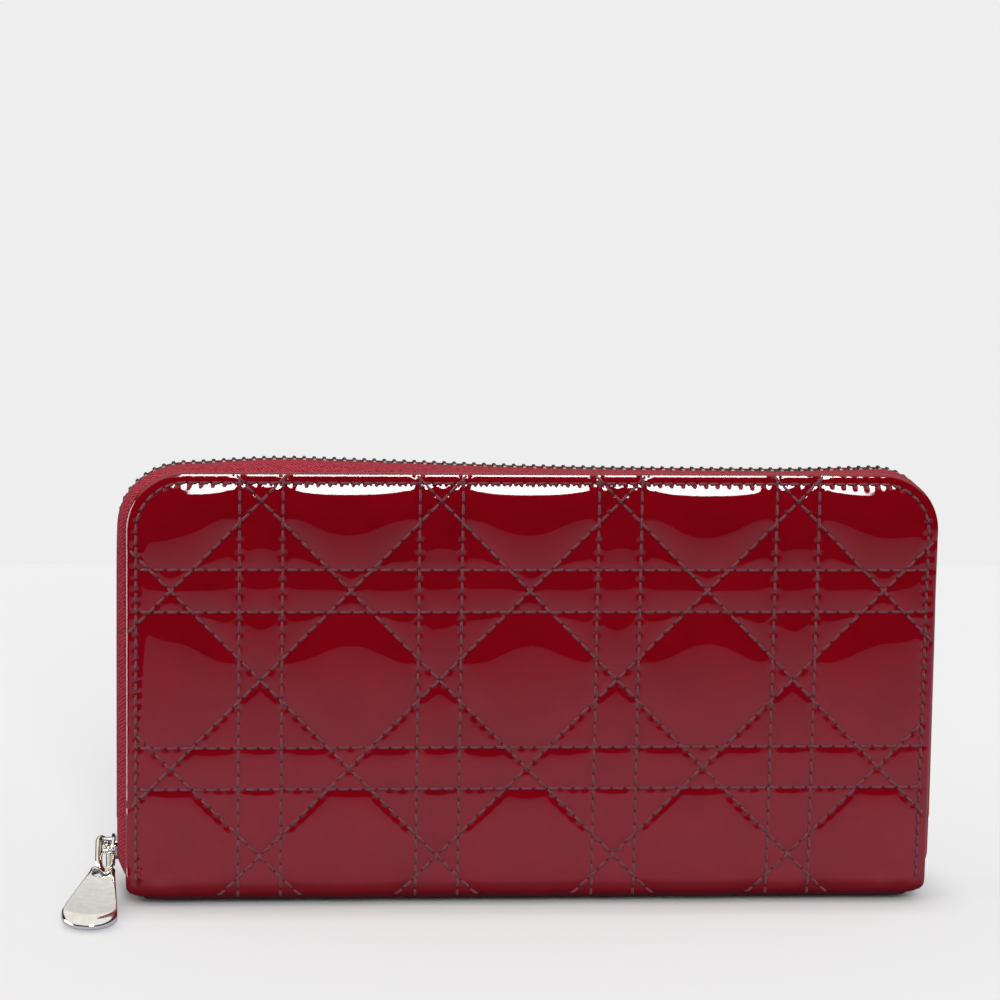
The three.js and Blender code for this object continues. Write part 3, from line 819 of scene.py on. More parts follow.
# %% Zip teeth
TOOTH_PITCH = 2.4
TOOTH_THICK = 1.05
TOOTH_HEIGHT = 1.6
TOOTH_FOOT, TOOTH_TIP = 3.5, -0.85
TOOTH_SIDES, TOOTH_SQUARE = 12, 0.6
# Each ring of a tooth: share of the way from foot to tip, share of its width and of its height.
TOOTH_SHAPE = [(0.0, 0.35, 0.55), (0.04, 0.85, 0.95), (0.2, 1.0, 1.0), (0.45, 0.82, 0.92),
               (0.6, 0.8, 0.88), (0.8, 1.0, 0.98), (0.93, 0.92, 0.85), (1.0, 0.4, 0.5)]


def teeth(name, side, path, first):
    s, x, z, ox, oz, sag = path
    centres = np.arange(first, s[-1], TOOTH_PITCH)
    at = {key: np.interp(centres, s, values)
          for key, values in (("x", x), ("z", z), ("ox", ox), ("oz", oz), ("sag", sag))}
    angle = np.linspace(0, 2 * math.pi, TOOTH_SIDES, endpoint=False)
    round_s, round_n = squared(np.cos(angle), TOOTH_SQUARE), squared(np.sin(angle), TOOTH_SQUARE)
    points, faces = [], []
    for k in range(len(centres)):
        out = np.array([at["ox"][k], 0, at["oz"][k]])
        along = np.array([at["oz"][k], 0, -at["ox"][k]])
        middle = np.array([at["x"][k], 0, at["z"][k]]) + out * (TEETH_MID + at["sag"][k])
        base = len(points) * len(angle) * len(TOOTH_SHAPE)
        rings = []
        for t, wide, tall in TOOTH_SHAPE:
            y = side * (TOOTH_FOOT + (TOOTH_TIP - TOOTH_FOOT) * t)
            rings.append(middle + np.array([0, y, 0])
                         + along * (round_s * wide * TOOTH_THICK / 2)[:, None]
                         + out * (round_n * tall * TOOTH_HEIGHT / 2)[:, None])
        points.append(np.concatenate(rings))
        n = len(angle)
        faces += grid_faces(len(TOOTH_SHAPE), n, close_cols=True, flip=side > 0, start=base).tolist()
        cap0 = [base + i for i in range(n)]
        cap1 = [base + (len(TOOTH_SHAPE) - 1) * n + i for i in range(n)]
        faces += [cap0[::-1], cap1] if side < 0 else [cap0, cap1[::-1]]
    return piece(name, np.concatenate(points), faces, teeth_metal, sharp=50)


def with_sag(path):
    return (*path[:5], smooth_sag(path[5]))


main_path = with_sag(zip_path(TAPE_END, 1.0))
for side, half in ((-1, "front"), (1, "back")):
    tape = zip_tape(f"{half}_zip_tape_cloth", side, main_path)
    place(tape, f"{half}_half", "zip_tape", f"{half}_zip_tape")
    row = teeth(f"{half}_zip_teeth_row", side, main_path, TOOTH_PITCH * (0.5 if side < 0 else 1.0))
    place(row, f"{half}_half", "zip_metal", f"{half}_zip_teeth")
    print(half, "zip:", len(row.data.polygons), "faces of teeth")

# %% [markdown]
# At each foot the last few teeth stay with the spine when the wallet opens: the tape's end is
# sewn down there and tucked in. So this short stretch is its own piece, on the root body.

# %% Zip ends, held by the spine
TUCK = 3.4


def end_path(end, foot, top, step=0.6):
    """The straight last stretch of the zip at one end of the wallet."""
    s = np.arange(0, top - foot + step / 2, step)
    one = np.ones_like(s)
    level = SAG[0] if end < 0 else SAG[-1]
    sag = level - 0.12 - TUCK * (1 - smoothstep(foot + s, foot - 1.0, foot + 8.0))
    return s, end * HALF * one, foot + s, end * one, 0 * one, sag


for end, place_name in ((-1, "left"), (1, "right")):
    low, high = box_mm(f"zip_end_tape_{place_name}_front")
    for side, half in ((-1, "front"), (1, "back")):
        path = end_path(end, low[2], high[2] + 1.4)
        node = f"zip_end_tape_{place_name}_{half}"
        tape = zip_tape(f"{node}_cloth", side, path)
        if end > 0:
            tape.data.flip_normals()
        place(tape, "root", "zip_tape", node)
        node = f"zip_end_teeth_{place_name}_{half}"
        first = 3.2 if side < 0 else 3.2 + TOOTH_PITCH / 2
        row = teeth(f"{node}_row", side, path, first)
        if end > 0:
            row.data.flip_normals()
        place(row, "root", "zip_metal", node)

# %% [markdown]
# A metal stop is crimped round the end of each tape, so that the slider can't run off.

# %% Zip stops
STOP_SIDES = 20


def stop_block(name, end):
    """A crimped metal block, tucked in with the end of the tape."""
    low, high = box_mm(name)
    middle = (low + high) / 2
    half_y, half_z = (high[1] - low[1]) / 2, (high[2] - low[2]) / 2
    n = STOP_SIDES
    angle = np.linspace(0, 2 * math.pi, n, endpoint=False)
    ry, rz = half_y * squared(np.cos(angle), 0.5), half_z * squared(np.sin(angle), 0.5)
    rings = []
    for out, size in ((-0.9, 0.7), (-0.7, 0.95), (0.0, 1.0), (0.7, 0.92), (0.95, 0.6)):
        x = end * (HALF - 1.6) + end * out
        rings.append(np.stack([np.full(n, x), middle[1] + ry * size, middle[2] + rz * size], -1))
    faces = grid_faces(len(rings), n, close_cols=True, flip=end < 0).tolist()
    caps = [list(range(n)), list(range((len(rings) - 1) * n, len(rings) * n))]
    faces += [caps[0][::-1], caps[1]] if end > 0 else [caps[0], caps[1][::-1]]
    return piece(f"{name}_block", np.concatenate(rings), faces, teeth_metal, sharp=50)


for end, place_name in ((-1, "left"), (1, "right")):
    for half in ("front", "back"):
        node = f"zip_stop_{place_name}_{half}"
        place(stop_block(node, end), "root", "zip_metal", node)

# %% [markdown]
# ## Slider, link and tab
# The slider is a die-cast body: two plates joined by a wedge, side rails that guide the teeth,
# and a bridge that holds the link. Each part is a plate with rounded edges. A bevel modifier
# would pinch at the tight corners, so a plate is made of rings of points, each a copy of the
# outline moved inwards as the edge rounds over.

# %% Bevelled plates


def inset(loop, amount):
    """A closed outline moved inwards by an amount, each point along its own normal."""
    loop = np.asarray(loop, float)
    ahead = np.roll(loop, -1, 0) - np.roll(loop, 1, 0)
    area = np.sum(loop[:, 0] * np.roll(loop[:, 1], -1) - loop[:, 1] * np.roll(loop[:, 0], -1))
    normal = np.stack([ahead[:, 1], -ahead[:, 0]], -1) * (1 if area > 0 else -1)
    return loop - normal / (np.linalg.norm(normal, axis=1)[:, None] + 1e-9) * amount


def plate(name, outline, hole, thickness, bevel, material, steps=4):
    """A flat plate with rounded edges, in X and Y, centred on Z, from outlines in millimetres.
    A hole has as many points as the outline."""
    angle = np.linspace(0, math.pi / 2, steps)
    cut = bevel * (1 - np.sin(angle))
    level = thickness / 2 - bevel * (1 - np.cos(angle))
    section = list(zip(cut, level)) + list(zip(cut[::-1], -level[::-1]))
    rings = [np.column_stack([inset(outline, c), np.full(len(outline), z)]) for c, z in section]
    if hole:
        rings += [np.column_stack([inset(hole, -c), np.full(len(hole), z)]) for c, z in section[::-1]]
    n = len(outline)
    faces = grid_faces(len(rings), n, close_rows=bool(hole), close_cols=True).tolist()
    if not hole:
        faces += [list(range(n))[::-1], list(range((len(rings) - 1) * n, len(rings) * n))]
    obj = piece(name, np.concatenate(rings), faces, material)
    bmesh_clean(obj.data).set_sharp_from_angle(angle=math.radians(40))
    return obj


def bmesh_clean(mesh):
    """Joins points that coincide and makes every face look outwards."""
    work = bmesh.new()
    work.from_mesh(mesh)
    bmesh.ops.remove_doubles(work, verts=work.verts, dist=1e-7)
    bmesh.ops.recalc_face_normals(work, faces=work.faces)
    work.to_mesh(mesh)
    work.free()
    return mesh


def rounded(points, radius, steps=6):
    """A closed outline with each corner rounded by an arc-like curve."""
    out = []
    count = len(points)
    for i in range(count):
        p = np.array(points[i], float)
        before, after = np.array(points[i - 1], float), np.array(points[(i + 1) % count], float)
        r = radius[i] if isinstance(radius, (list, tuple)) else radius
        a = p + (before - p) / np.linalg.norm(before - p) * r
        b = p + (after - p) / np.linalg.norm(after - p) * r
        for t in np.linspace(0, 1, steps):
            out.append(tuple((1 - t) ** 2 * a + 2 * t * (1 - t) * p + t * t * b))
    return out


def oval(cx, cy, half_x, half_y, count=32):
    angle = np.linspace(0, 2 * math.pi, count, endpoint=False)
    return [(cx + half_x * math.cos(a), cy + half_y * math.sin(a)) for a in angle]


def to_frame(obj, origin, x_axis, y_axis, z_axis):
    """Moves a plate's mesh so that its own axes lie along these, at origin, in millimetres."""
    basis = Matrix((x_axis, y_axis, z_axis)).transposed().to_4x4()
    obj.data.transform(Matrix.Translation(Vector(origin) * MM) @ basis)
    obj.data.update()
    return obj


def merged(name, objects):
    """Several closed bodies as one object."""
    bpy.ops.object.select_all(action="DESELECT")
    for obj in objects:
        obj.select_set(True)
    bpy.context.view_layer.objects.active = objects[0]
    bpy.ops.object.join()
    objects[0].name = name
    return objects[0]


# %% [markdown]
# The slider's plates stand on both sides of the teeth, across the zip's path, and the bridge
# reaches out to the left with room for the link under it.

# %% Main slider
slider_low, slider_high = box_mm("zip_slider")
PLATE = 0.9
SHORT = 3.5
leg_at, _ = joint_mm("link_swing")
outer_face = float(leg_at[0] + 0.75)
BRIDGE_REACH = float(outer_face - slider_low[0]) + 0.7
inner_face = float(slider_high[0])
Y_AXIS, Z_AXIS, X_AXIS = (0, 1, 0), (0, 0, 1), (1, 0, 0)


def slider_plate(name, x):
    foot, top = slider_low[2], slider_high[2] - SHORT
    shape = rounded([(-3.3, foot), (3.3, foot), (4.6, foot + 4), (4.6, top - 1), (2.0, top), (-2.0, top),
                     (-4.6, top - 1), (-4.6, foot + 4)], 1.2)
    return to_frame(plate(name, shape, None, PLATE, 0.28, polished_metal),
                    (x, 0, 0), Y_AXIS, Z_AXIS, X_AXIS)


def slider_rail(name, x0, x1, y):
    shape = rounded([(x0, y - 0.35), (x1, y - 0.35), (x1, y + 0.35), (x0, y + 0.35)], 0.15)
    tall = slider_high[2] - slider_low[2] - SHORT - 4.5
    middle = (slider_low[2] + slider_high[2] - SHORT) / 2 + 1.0
    return to_frame(plate(name, shape, None, tall, 0.12, polished_metal),
                    (0, 0, middle), X_AXIS, Y_AXIS, Z_AXIS)


lip_outer = outer_face + PLATE + 0.2
lip_inner = inner_face - PLATE - 0.65
bits = [slider_plate("plate_out", outer_face + PLATE / 2),
        slider_plate("plate_in", inner_face - PLATE / 2)]
for y in (-4.25, 4.25):
    bits.append(slider_rail("rail_out", outer_face + 0.3, lip_outer, y))
    bits.append(slider_rail("rail_in", lip_inner, inner_face - 0.3, y))
bits.append(to_frame(
    plate("wedge", oval(0, 0, 0.14, 2.2, 20), None, inner_face - outer_face - 0.8, 0.03, polished_metal),
    ((outer_face + inner_face) / 2, 0, slider_low[2] + 3.2), Y_AXIS, Z_AXIS, X_AXIS))
bridge_low, bridge_high = leg_at[2] - 1.8, leg_at[2] + 2.2
outline = rounded([(0.3, bridge_low), (-BRIDGE_REACH, bridge_low), (-BRIDGE_REACH, bridge_high),
                   (0.3, bridge_high)], [0.1, 1.5, 1.5, 0.1])
BRIDGE_LEG, BRIDGE_END = 1.15, 1.1
hole = rounded([(-0.3, bridge_low + BRIDGE_LEG), (-BRIDGE_REACH + BRIDGE_END, bridge_low + BRIDGE_LEG),
                (-BRIDGE_REACH + BRIDGE_END, bridge_high - BRIDGE_LEG),
                (-0.3, bridge_high - BRIDGE_LEG)], [0.1, 0.5, 0.5, 0.1])
bits.append(to_frame(plate("bridge", outline, hole, 1.3, 0.3, polished_metal),
                     (outer_face, 0, 0), X_AXIS, Z_AXIS, (0, -1, 0)))
place(merged("slider_body", bits), "zip_slider", "polished_metal", "zip_slider")

print("slider body", (slider_high - slider_low).round(1), "mm in CAD")

# %% [markdown]
# The link is a flattened ring. It hangs from the bridge's leg and carries the tab, and it has
# fallen over to one side, as a loose ring does.

# %% Link
LINK_WIRE, LINK_THICK, LINK_HOLE = 2.1, 1.4, 1.2
LINK_LEAN, LINK_DROP = math.radians(34), math.radians(38)
LINK_SHIFT, LINK_BACK, LINK_PAST = -0.95, 0.7, 2.5
arc_at, _ = joint_mm("tab_swing")
link_length = float(np.linalg.norm(arc_at - leg_at)) + LINK_PAST
ahead = np.array([0, -math.cos(LINK_DROP), -math.sin(LINK_DROP)])
wire_at = leg_at + ahead * link_length
link_side = np.cross(ahead, [1.0, 0, 0])
upright = link_side * math.copysign(1, link_side[2])
link_side = upright * math.cos(LINK_LEAN) - np.array([1.0, 0, 0]) * math.sin(LINK_LEAN)
link_flat = np.cross(ahead, link_side)


def link_ring(turns=80, sides=16):
    """A flattened loop: a rounded section swept round a long oval."""
    turn = np.linspace(0, 2 * math.pi, turns, endpoint=False)
    radius = LINK_HOLE + LINK_WIRE / 2
    centre = np.where(np.cos(turn) > 0, link_length - radius, LINK_BACK)
    along, across = centre + radius * np.cos(turn), radius * np.sin(turn)
    angle = np.linspace(0, 2 * math.pi, sides, endpoint=False)
    wide = squared(np.cos(angle), 0.75) * LINK_WIRE / 2
    thick = squared(np.sin(angle), 0.75) * LINK_THICK / 2
    a = along[:, None] + np.cos(turn)[:, None] * wide
    b = across[:, None] + np.sin(turn)[:, None] * wide
    points = (leg_at + np.array([LINK_SHIFT, 0, 0]) + a[..., None] * ahead + b[..., None] * link_side
              + (np.ones_like(a) * thick)[..., None] * link_flat)
    return piece("link_ring", points.reshape(-1, 3),
                 grid_faces(turns, sides, close_rows=True, close_cols=True), polished_metal)


place(link_ring(), "pull_link", "polished_metal", "pull_link")

# %% [markdown]
# The tab tapers in plan and in thickness: thin at the eye, thick and rounded at the tip, where
# a finger pushes. Rings of points run from the eye out to the edge, over it and back below, so
# the rounding can differ at every place. The real one carries a stamp, which is left plain here.

# %% Pull tab
TAB_LENGTH, TAB_EYE, TAB_TURN = 31.5, 2.6, math.radians(6.4)
TAB_TOP_HALF, TAB_FOOT_HALF, TAB_FOOT_ARC = 3.1, 6.7, 6.2
TAB_THIN, TAB_THICK = 1.7, 3.6
TAB_OFFSET = -1.4
TAB_SHOULDER, TAB_SQUARE = 2.4, 0.6
EYE_Y, EYE_HALF_X, EYE_HALF_Y, EYE_SQUARE = -1.15, 2.0, 2.15, 0.75


def tab_outline(angle):
    """Distance from the eye's centre to the tab's edge, in each direction."""
    foot = TAB_EYE - TAB_LENGTH
    arc = np.linspace(0, math.pi, 60)
    xs = np.concatenate([[-TAB_FOOT_HALF], -TAB_FOOT_HALF * np.cos(arc), [TAB_FOOT_HALF]])
    ys = foot + TAB_FOOT_ARC * (1 - np.concatenate([[0], np.sin(arc), [0]]))
    top = np.linspace(0, math.pi, 40)
    tx = TAB_TOP_HALF * squared(np.cos(top), TAB_SQUARE)
    ty = TAB_EYE - TAB_SHOULDER + TAB_SHOULDER * np.abs(np.sin(top)) ** TAB_SQUARE
    loop = np.concatenate([np.stack([xs, ys], -1), np.stack([tx, ty], -1)])
    centre = np.array([0.0, EYE_Y])
    at = np.arctan2(loop[:, 1] - centre[1], loop[:, 0] - centre[0]) % (2 * math.pi)
    far = np.hypot(loop[:, 0] - centre[0], loop[:, 1] - centre[1])
    order = np.argsort(at)
    at, far, loop = at[order], far[order], loop[order]
    closed = np.concatenate([loop, loop[:1]])
    out = []
    for a in angle:
        ray = np.array([math.cos(a), math.sin(a)])
        p, d = closed[:-1] - centre, closed[1:] - closed[:-1]
        cross = ray[0] * d[:, 1] - ray[1] * d[:, 0]
        cross = np.where(np.abs(cross) < 1e-9, 1e-9, cross)
        t = (p[:, 0] * d[:, 1] - p[:, 1] * d[:, 0]) / cross
        u = (p[:, 0] * ray[1] - p[:, 1] * ray[0]) / cross
        out.append(min(t[(u >= -1e-6) & (u <= 1 + 1e-6) & (t > 0)]))
    return np.array(out)


def tab_mesh(around=144, across=30):
    """The tab, from rings of points that run from the eye to the edge and back."""
    angle = np.linspace(0, 2 * math.pi, around, endpoint=False)
    ex = EYE_HALF_X * squared(np.cos(angle), EYE_SQUARE)
    ey = EYE_HALF_Y * squared(np.sin(angle), EYE_SQUARE)
    inner = np.hypot(ex, ey)
    angle = np.arctan2(ey, ex)
    outer = tab_outline(angle)
    step = np.linspace(0, math.pi, across)
    share = (1 - np.cos(step)) / 2
    radius = inner[:, None] + (outer - inner)[:, None] * share[None, :]
    x = radius * np.cos(angle)[:, None]
    y = EYE_Y + radius * np.sin(angle)[:, None]
    down = np.clip((TAB_EYE - y) / TAB_LENGTH, 0, 1)
    half = (TAB_THIN + (TAB_THICK - TAB_THIN) * down ** 1.5) / 2
    gap_in, gap_out = radius - inner[:, None], outer[:, None] - radius
    edge = 1.0 + 3.2 * smoothstep(down, 0.75, 1.0)
    roll = np.clip(gap_out / edge, 0, 1)
    lip = np.clip(gap_in / 0.45, 0, 1)
    rise = half * np.sqrt(1 - (1 - roll) ** 2) * np.sqrt(1 - (1 - lip) ** 2)
    top = np.stack([x, y, rise], -1)
    below = np.stack([x, y, -rise], -1)[:, ::-1][:, 1:-1]
    ring = np.concatenate([top, below], 1)
    rows, cols = ring.shape[:2]
    return piece("tab_plate", ring.reshape(-1, 3),
                 grid_faces(rows, cols, close_rows=True, close_cols=True), polished_metal)


tab = tab_mesh()
TAB_TILT = math.asin((wire_at[2] - TAB_THICK / 2 - 0.1) / (TAB_LENGTH - TAB_EYE - 1.0))
x_dir = Vector((math.cos(TAB_TURN), -math.sin(TAB_TURN), 0))
level = Vector((0, 0, 1)).cross(x_dir)
y_dir = level * math.cos(TAB_TILT) + Vector((0, 0, 1)) * math.sin(TAB_TILT)
to_frame(tab, wire_at + np.array([TAB_OFFSET, 0, 0]),
         tuple(x_dir), tuple(y_dir), tuple(x_dir.cross(y_dir)))
place(tab, "pull_tab", "polished_metal", "pull_tab")
corners = np.array([v.co for v in tab.data.vertices]) / MM
print("tab from", corners.min(0).round(1), "to", corners.max(0).round(1))

# %% [markdown]
# ## Inside
# The card pockets, dividers, linings, boards and padding keep their CAD shape, because only an
# edge of them shows. The gussets are remade: each folded one spans from the coin pocket to a
# cover.

# %% Folded gussets
GUSSET_THICK = 0.35
_, coin_high = box_mm("coin_pocket_gusset")


def gusset(name, side):
    """A calf panel with a pleat between a cover and the coin pocket, closed round its edge."""
    low, high = box_mm(name)
    outer, inner = (low[1], high[1]) if side < 0 else (high[1], low[1])
    inward = 1 if low[0] < 0 else -1
    edge_x = low[0] if inward > 0 else high[0]
    depth = high[0] - low[0]
    q = np.linspace(0, 1, 25)
    fold = np.abs(1 - 2 * q) ** 1.15
    t = np.linspace(0, 1, 60)
    z = low[2] + (high[2] - low[2]) * t
    x = edge_x + inward * depth * (1 - fold)[None, :] * (0.75 + 0.25 * t[:, None])
    to_coin = smoothstep(q, 0.8, 1.0)
    coin_x, coin_y = -inward * (coin_high[0] - 0.6), side * coin_high[1]
    x = x + (coin_x - x) * to_coin
    y = np.broadcast_to(outer + (inner - outer) * q + (coin_y - inner) * to_coin, x.shape)
    zz = np.broadcast_to(z[:, None] - 1.6 * (1 - fold) * t[:, None] ** 6, x.shape)
    face = np.stack([x, y, zz], -1)
    back_face = face + np.array([inward * GUSSET_THICK, 0, 0])
    ring = np.concatenate([face, back_face[:, ::-1]], 1)
    rows, cols = ring.shape[:2]
    faces = grid_faces(rows, cols, close_cols=True).tolist()
    faces += [list(range(cols))[::-1], list(range((rows - 1) * cols, rows * cols))]
    obj = piece(f"{name}_pleat", ring.reshape(-1, 3), faces, calf, sharp=60)
    bmesh_clean(obj.data)
    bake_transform(obj)
    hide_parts(name)


for side, word in ((-1, "front"), (1, "back")):
    for end in ("left", "right"):
        gusset(f"gusset_{word}_{end}", side)

# %% [markdown]
# Every card pocket is stitched along its top edge, and one seam down the middle divides each
# row in two. The dividers and the coin pocket have a seam along their top edge as well.

# %% Inner seams
INNER_PITCH = 2.6
INNER_THREAD = 0.2


def straight_seam(name, body, runs, out):
    """Stitches along straight runs on a leaf. `out` is the side that the thread lies on."""
    points, uvs, faces, base = [], [], [], 0
    n, m = 5, 6
    t = np.linspace(0, 1, n)
    arch = np.sin(math.pi * t) ** 0.45
    angle = np.linspace(0, 2 * math.pi, m, endpoint=False)
    normal = np.array([0.0, out, 0.0])
    for start, end in runs:
        start, end = np.array(start, float), np.array(end, float)
        length = np.linalg.norm(end - start)
        along = (end - start) / length
        side = np.cross(along, normal)
        for k in range(int(length // INNER_PITCH)):
            s = k * INNER_PITCH + 0.15 + t * (INNER_PITCH - 0.3)
            centre = start + along * s[:, None] + normal * (INNER_THREAD * (1.2 * arch - 0.6))[:, None]
            radius = INNER_THREAD * (0.6 + 0.4 * arch)
            ring = np.cos(angle)[:, None] * side + np.sin(angle)[:, None] * normal
            points.append((centre[:, None, :] + radius[:, None, None] * ring).reshape(-1, 3))
            uv = np.stack(np.broadcast_arrays(s[:, None], angle * INNER_THREAD), -1)
            uvs.append(uv.reshape(-1, 2))
            faces += grid_faces(n, m, close_cols=True, flip=True, start=base).tolist()
            faces += [[base + i for i in range(m)], [base + (n - 1) * m + i for i in range(m)][::-1]]
            base += n * m
    obj = piece(name, np.concatenate(points), faces, edge_thread, uv=np.concatenate(uvs))
    place(obj, body, "calf_leather")


TOP_INSET, ROUND = 1.6, 9.0
for side, word in ((-1, "front"), (1, "back")):
    runs = []
    for k in range(1, 5):
        low, high = box_mm(f"{word}_card_pocket_{k}")
        y = high[1] + 0.02 if side < 0 else low[1] - 0.02
        seam_z = high[2] - TOP_INSET
        runs.append(((low[0] + ROUND, y, seam_z), (high[0] - ROUND, y, seam_z)))
        if k == 4:
            runs.append(((0, y, low[2] + 2), (0, y, seam_z - 1)))
    straight_seam(f"{word}_pocket_seams", f"{word}_half", runs, -side)
    low, high = box_mm(f"{word}_divider")
    seam_z = high[2] - TOP_INSET
    for face, out in ((low[1], -1), (high[1], 1)):
        run = [((low[0] + ROUND, face, seam_z), (high[0] - ROUND, face, seam_z))]
        facing = "out" if out == side else "in"
        straight_seam(f"{word}_divider_seam_{facing}", f"{word}_divider", run, out)

# %% [markdown]
# The coin pocket closes with a nylon coil zip. Its two coils are springs of monofilament sewn
# along the tapes, and their loops hook between each other.

# %% Coin zip coils
COIL_PITCH, COIL_WIRE = 1.25, 0.26
COIL_NEAR, COIL_FAR, COIL_SHIFT = 0.45, 1.75, 0.55


def coil(name, node, side):
    """A spring of monofilament as long as a CAD node, with loops that reach past the middle."""
    low, high = box_mm(node)
    middle_z, radius_z = (low[2] + high[2]) / 2, (high[2] - low[2]) / 2 - COIL_WIRE
    turns = (high[0] - low[0]) / COIL_PITCH
    a = np.arange(0, turns * 2 * math.pi, math.pi / 6)
    x = low[0] + a / (2 * math.pi) * COIL_PITCH + (COIL_PITCH / 2 if side > 0 else 0) - 0.4
    y = side * ((COIL_NEAR + COIL_FAR) / 2 - (COIL_FAR - COIL_NEAR) / 2 * np.cos(a)) - side * COIL_SHIFT
    path = np.stack([x, y, middle_z + radius_z * np.sin(a)], -1)
    ahead = np.gradient(path, axis=0)
    ahead /= np.linalg.norm(ahead, axis=1)[:, None]
    side_way = np.cross(ahead, [1.0, 0, 0])
    side_way /= np.linalg.norm(side_way, axis=1)[:, None]
    other = np.cross(ahead, side_way)
    angle = np.linspace(0, 2 * math.pi, 6, endpoint=False)
    ring = (path[:, None, :] + COIL_WIRE * (np.cos(angle)[None, :, None] * side_way[:, None, :]
                                            + np.sin(angle)[None, :, None] * other[:, None, :]))
    faces = grid_faces(len(path), 6, close_cols=True).tolist()
    faces += [list(range(6))[::-1], list(range((len(path) - 1) * 6, len(path) * 6))]
    obj = piece(name, ring.reshape(-1, 3), faces, nylon)
    bmesh_clean(obj.data)
    return obj


SLOT_OF = {part["node"]: part["material_slot"] for part in frame["record"]["subparts"]}
for side, word in ((-1, "front"), (1, "back")):
    node = f"coin_zip_coil_{word}"
    place(coil(f"{node}_spring", node, side), "root", SLOT_OF[node], node)

# %% [markdown]
# What stays as CAD shaped it, such as card pockets, boards and the coin zip's slider, only needs
# its finish. The record names a slot for every node, so one table gives each its material.

# %% Finishes for the carried-over pieces
CAD_FINISH = {
    "patent_leather": patent, "calf_leather": calf, "lining_cloth": lining_cloth, "foam": felt,
    "fibreboard": fibreboard, "zip_tape": zip_tape_cloth, "zip_metal": teeth_metal,
    "polished_metal": polished_metal, "nylon": nylon,
}
for node, slot in SLOT_OF.items():
    materials = frame["nodes"][node].data.materials
    materials.clear()
    materials.append(CAD_FINISH[slot])
print(len(SLOT_OF), "nodes finished")

# %% [markdown]
# The back cover's top has sunk a little. The padding, board and lining inside it have to sink as
# well, or they would stand out over the rim, so copies of them are lowered by the same rule.

# %% Settle the back cover's layers
for node in ("back_padding", "back_board", "back_lining"):
    mesh = frame["nodes"][node].data.copy()
    points = settled(np.array([v.co for v in mesh.vertices]) / MM)
    mesh.vertices.foreach_set("co", (points * MM).ravel())
    mesh.update()
    obj = bpy.data.objects.new(f"{node}_settled", mesh)
    bpy.context.scene.collection.objects.link(obj)
    place(obj, "back_half", SLOT_OF[node], node)
    print(node, "now reaches", points[:, 2].max().round(1), "mm")

# %% [markdown]
# ## Studio
# Patent leather shows its surroundings, so the studio is what it mirrors: a pale sheet on the
# table in front, darkness beyond its edge, and one narrow softbox high in front, which draws the
# white strip under the top seam. The sheet as the leather mirrors it, and the light it bounces,
# are painted: a painted pool of light, brightest near the wallet and fading to the sheet's edge,
# painted bounce shade, and a painted contact shadow at the wallet's foot. A bright strip on the
# left lights the tape and the hardware. The camera itself sees only the pale sheet, in every
# direction, with a soft contact shade where the wallet meets it.

# %% Floor
PALE = 0.855
FLOOR_ALBEDO = 0.38
GLOW = 0.5
SHEET_LEFT, SHEET_RIGHT, SHEET_REACH = -190, 560, 400
# Painted light: the sheet's tone as the leather mirrors it and as it bounces light, near the wallet and at the
# sheet's edge.
NEAR_PAINTED_LIGHT, FAR_PAINTED_LIGHT = 0.58, 0.19      # what the leather mirrors, near it and at the sheet's edge
# Painted shade: how much darker the sheet is for bounced light, and how much darker it is mirrored close to the
# wallet's foot.
CONTACT, PAINTED_CONTACT_SHADOW, PAINTED_BOUNCE_SHADE, COOL = 16.0, 0.8, 0.6, 1.25
floor_material, tree, shader = new_material("studio_floor", Roughness=1.0, Specular_IOR_Level=0.0)
where = millimetres(tree)
place_xyz = add(tree, "ShaderNodeSeparateXYZ", {"Vector": where})
reach = add(tree, "ShaderNodeMath", {0: place_xyz.outputs["Y"]}, operation="ABSOLUTE").outputs[0]
# Painted pool of light: the mirrored and bounced sheet is brightest near the wallet and darker towards its edge.
painted_light_falloff = add(tree, "ShaderNodeMapRange", {"Value": reach},
           {"From Min": 60.0, "From Max": SHEET_REACH,
            "To Min": NEAR_PAINTED_LIGHT, "To Max": FAR_PAINTED_LIGHT}).outputs["Result"]
apart = add(tree, "ShaderNodeVectorMath", {0: where}, operation="ABSOLUTE").outputs[0]
apart = add(tree, "ShaderNodeVectorMath", {0: apart}, {1: (HALF - 3, SKIN - 2, 0)},
            operation="SUBTRACT").outputs[0]
apart = add(tree, "ShaderNodeVectorMath", {0: apart}, {1: (0, 0, 0)}, operation="MAXIMUM").outputs[0]
apart = add(tree, "ShaderNodeVectorMath", {0: apart}, operation="LENGTH").outputs["Value"]
near = add(tree, "ShaderNodeMapRange", {"Value": apart},
           {"From Min": 2.0, "From Max": CONTACT, "To Min": 1.0, "To Max": 0.0},
           interpolation_type="SMOOTHSTEP").outputs["Result"]
path = add(tree, "ShaderNodeLightPath")
seen = path.outputs["Is Camera Ray"]
# Painted shade: diffuse rays see the sheet darker, which dims the light it bounces onto the leather.
bounce_shade_painted = add(tree, "ShaderNodeMath", {0: path.outputs["Is Diffuse Ray"]}, {1: -PAINTED_BOUNCE_SHADE, 2: 1.0},
           operation="MULTIPLY_ADD").outputs[0]
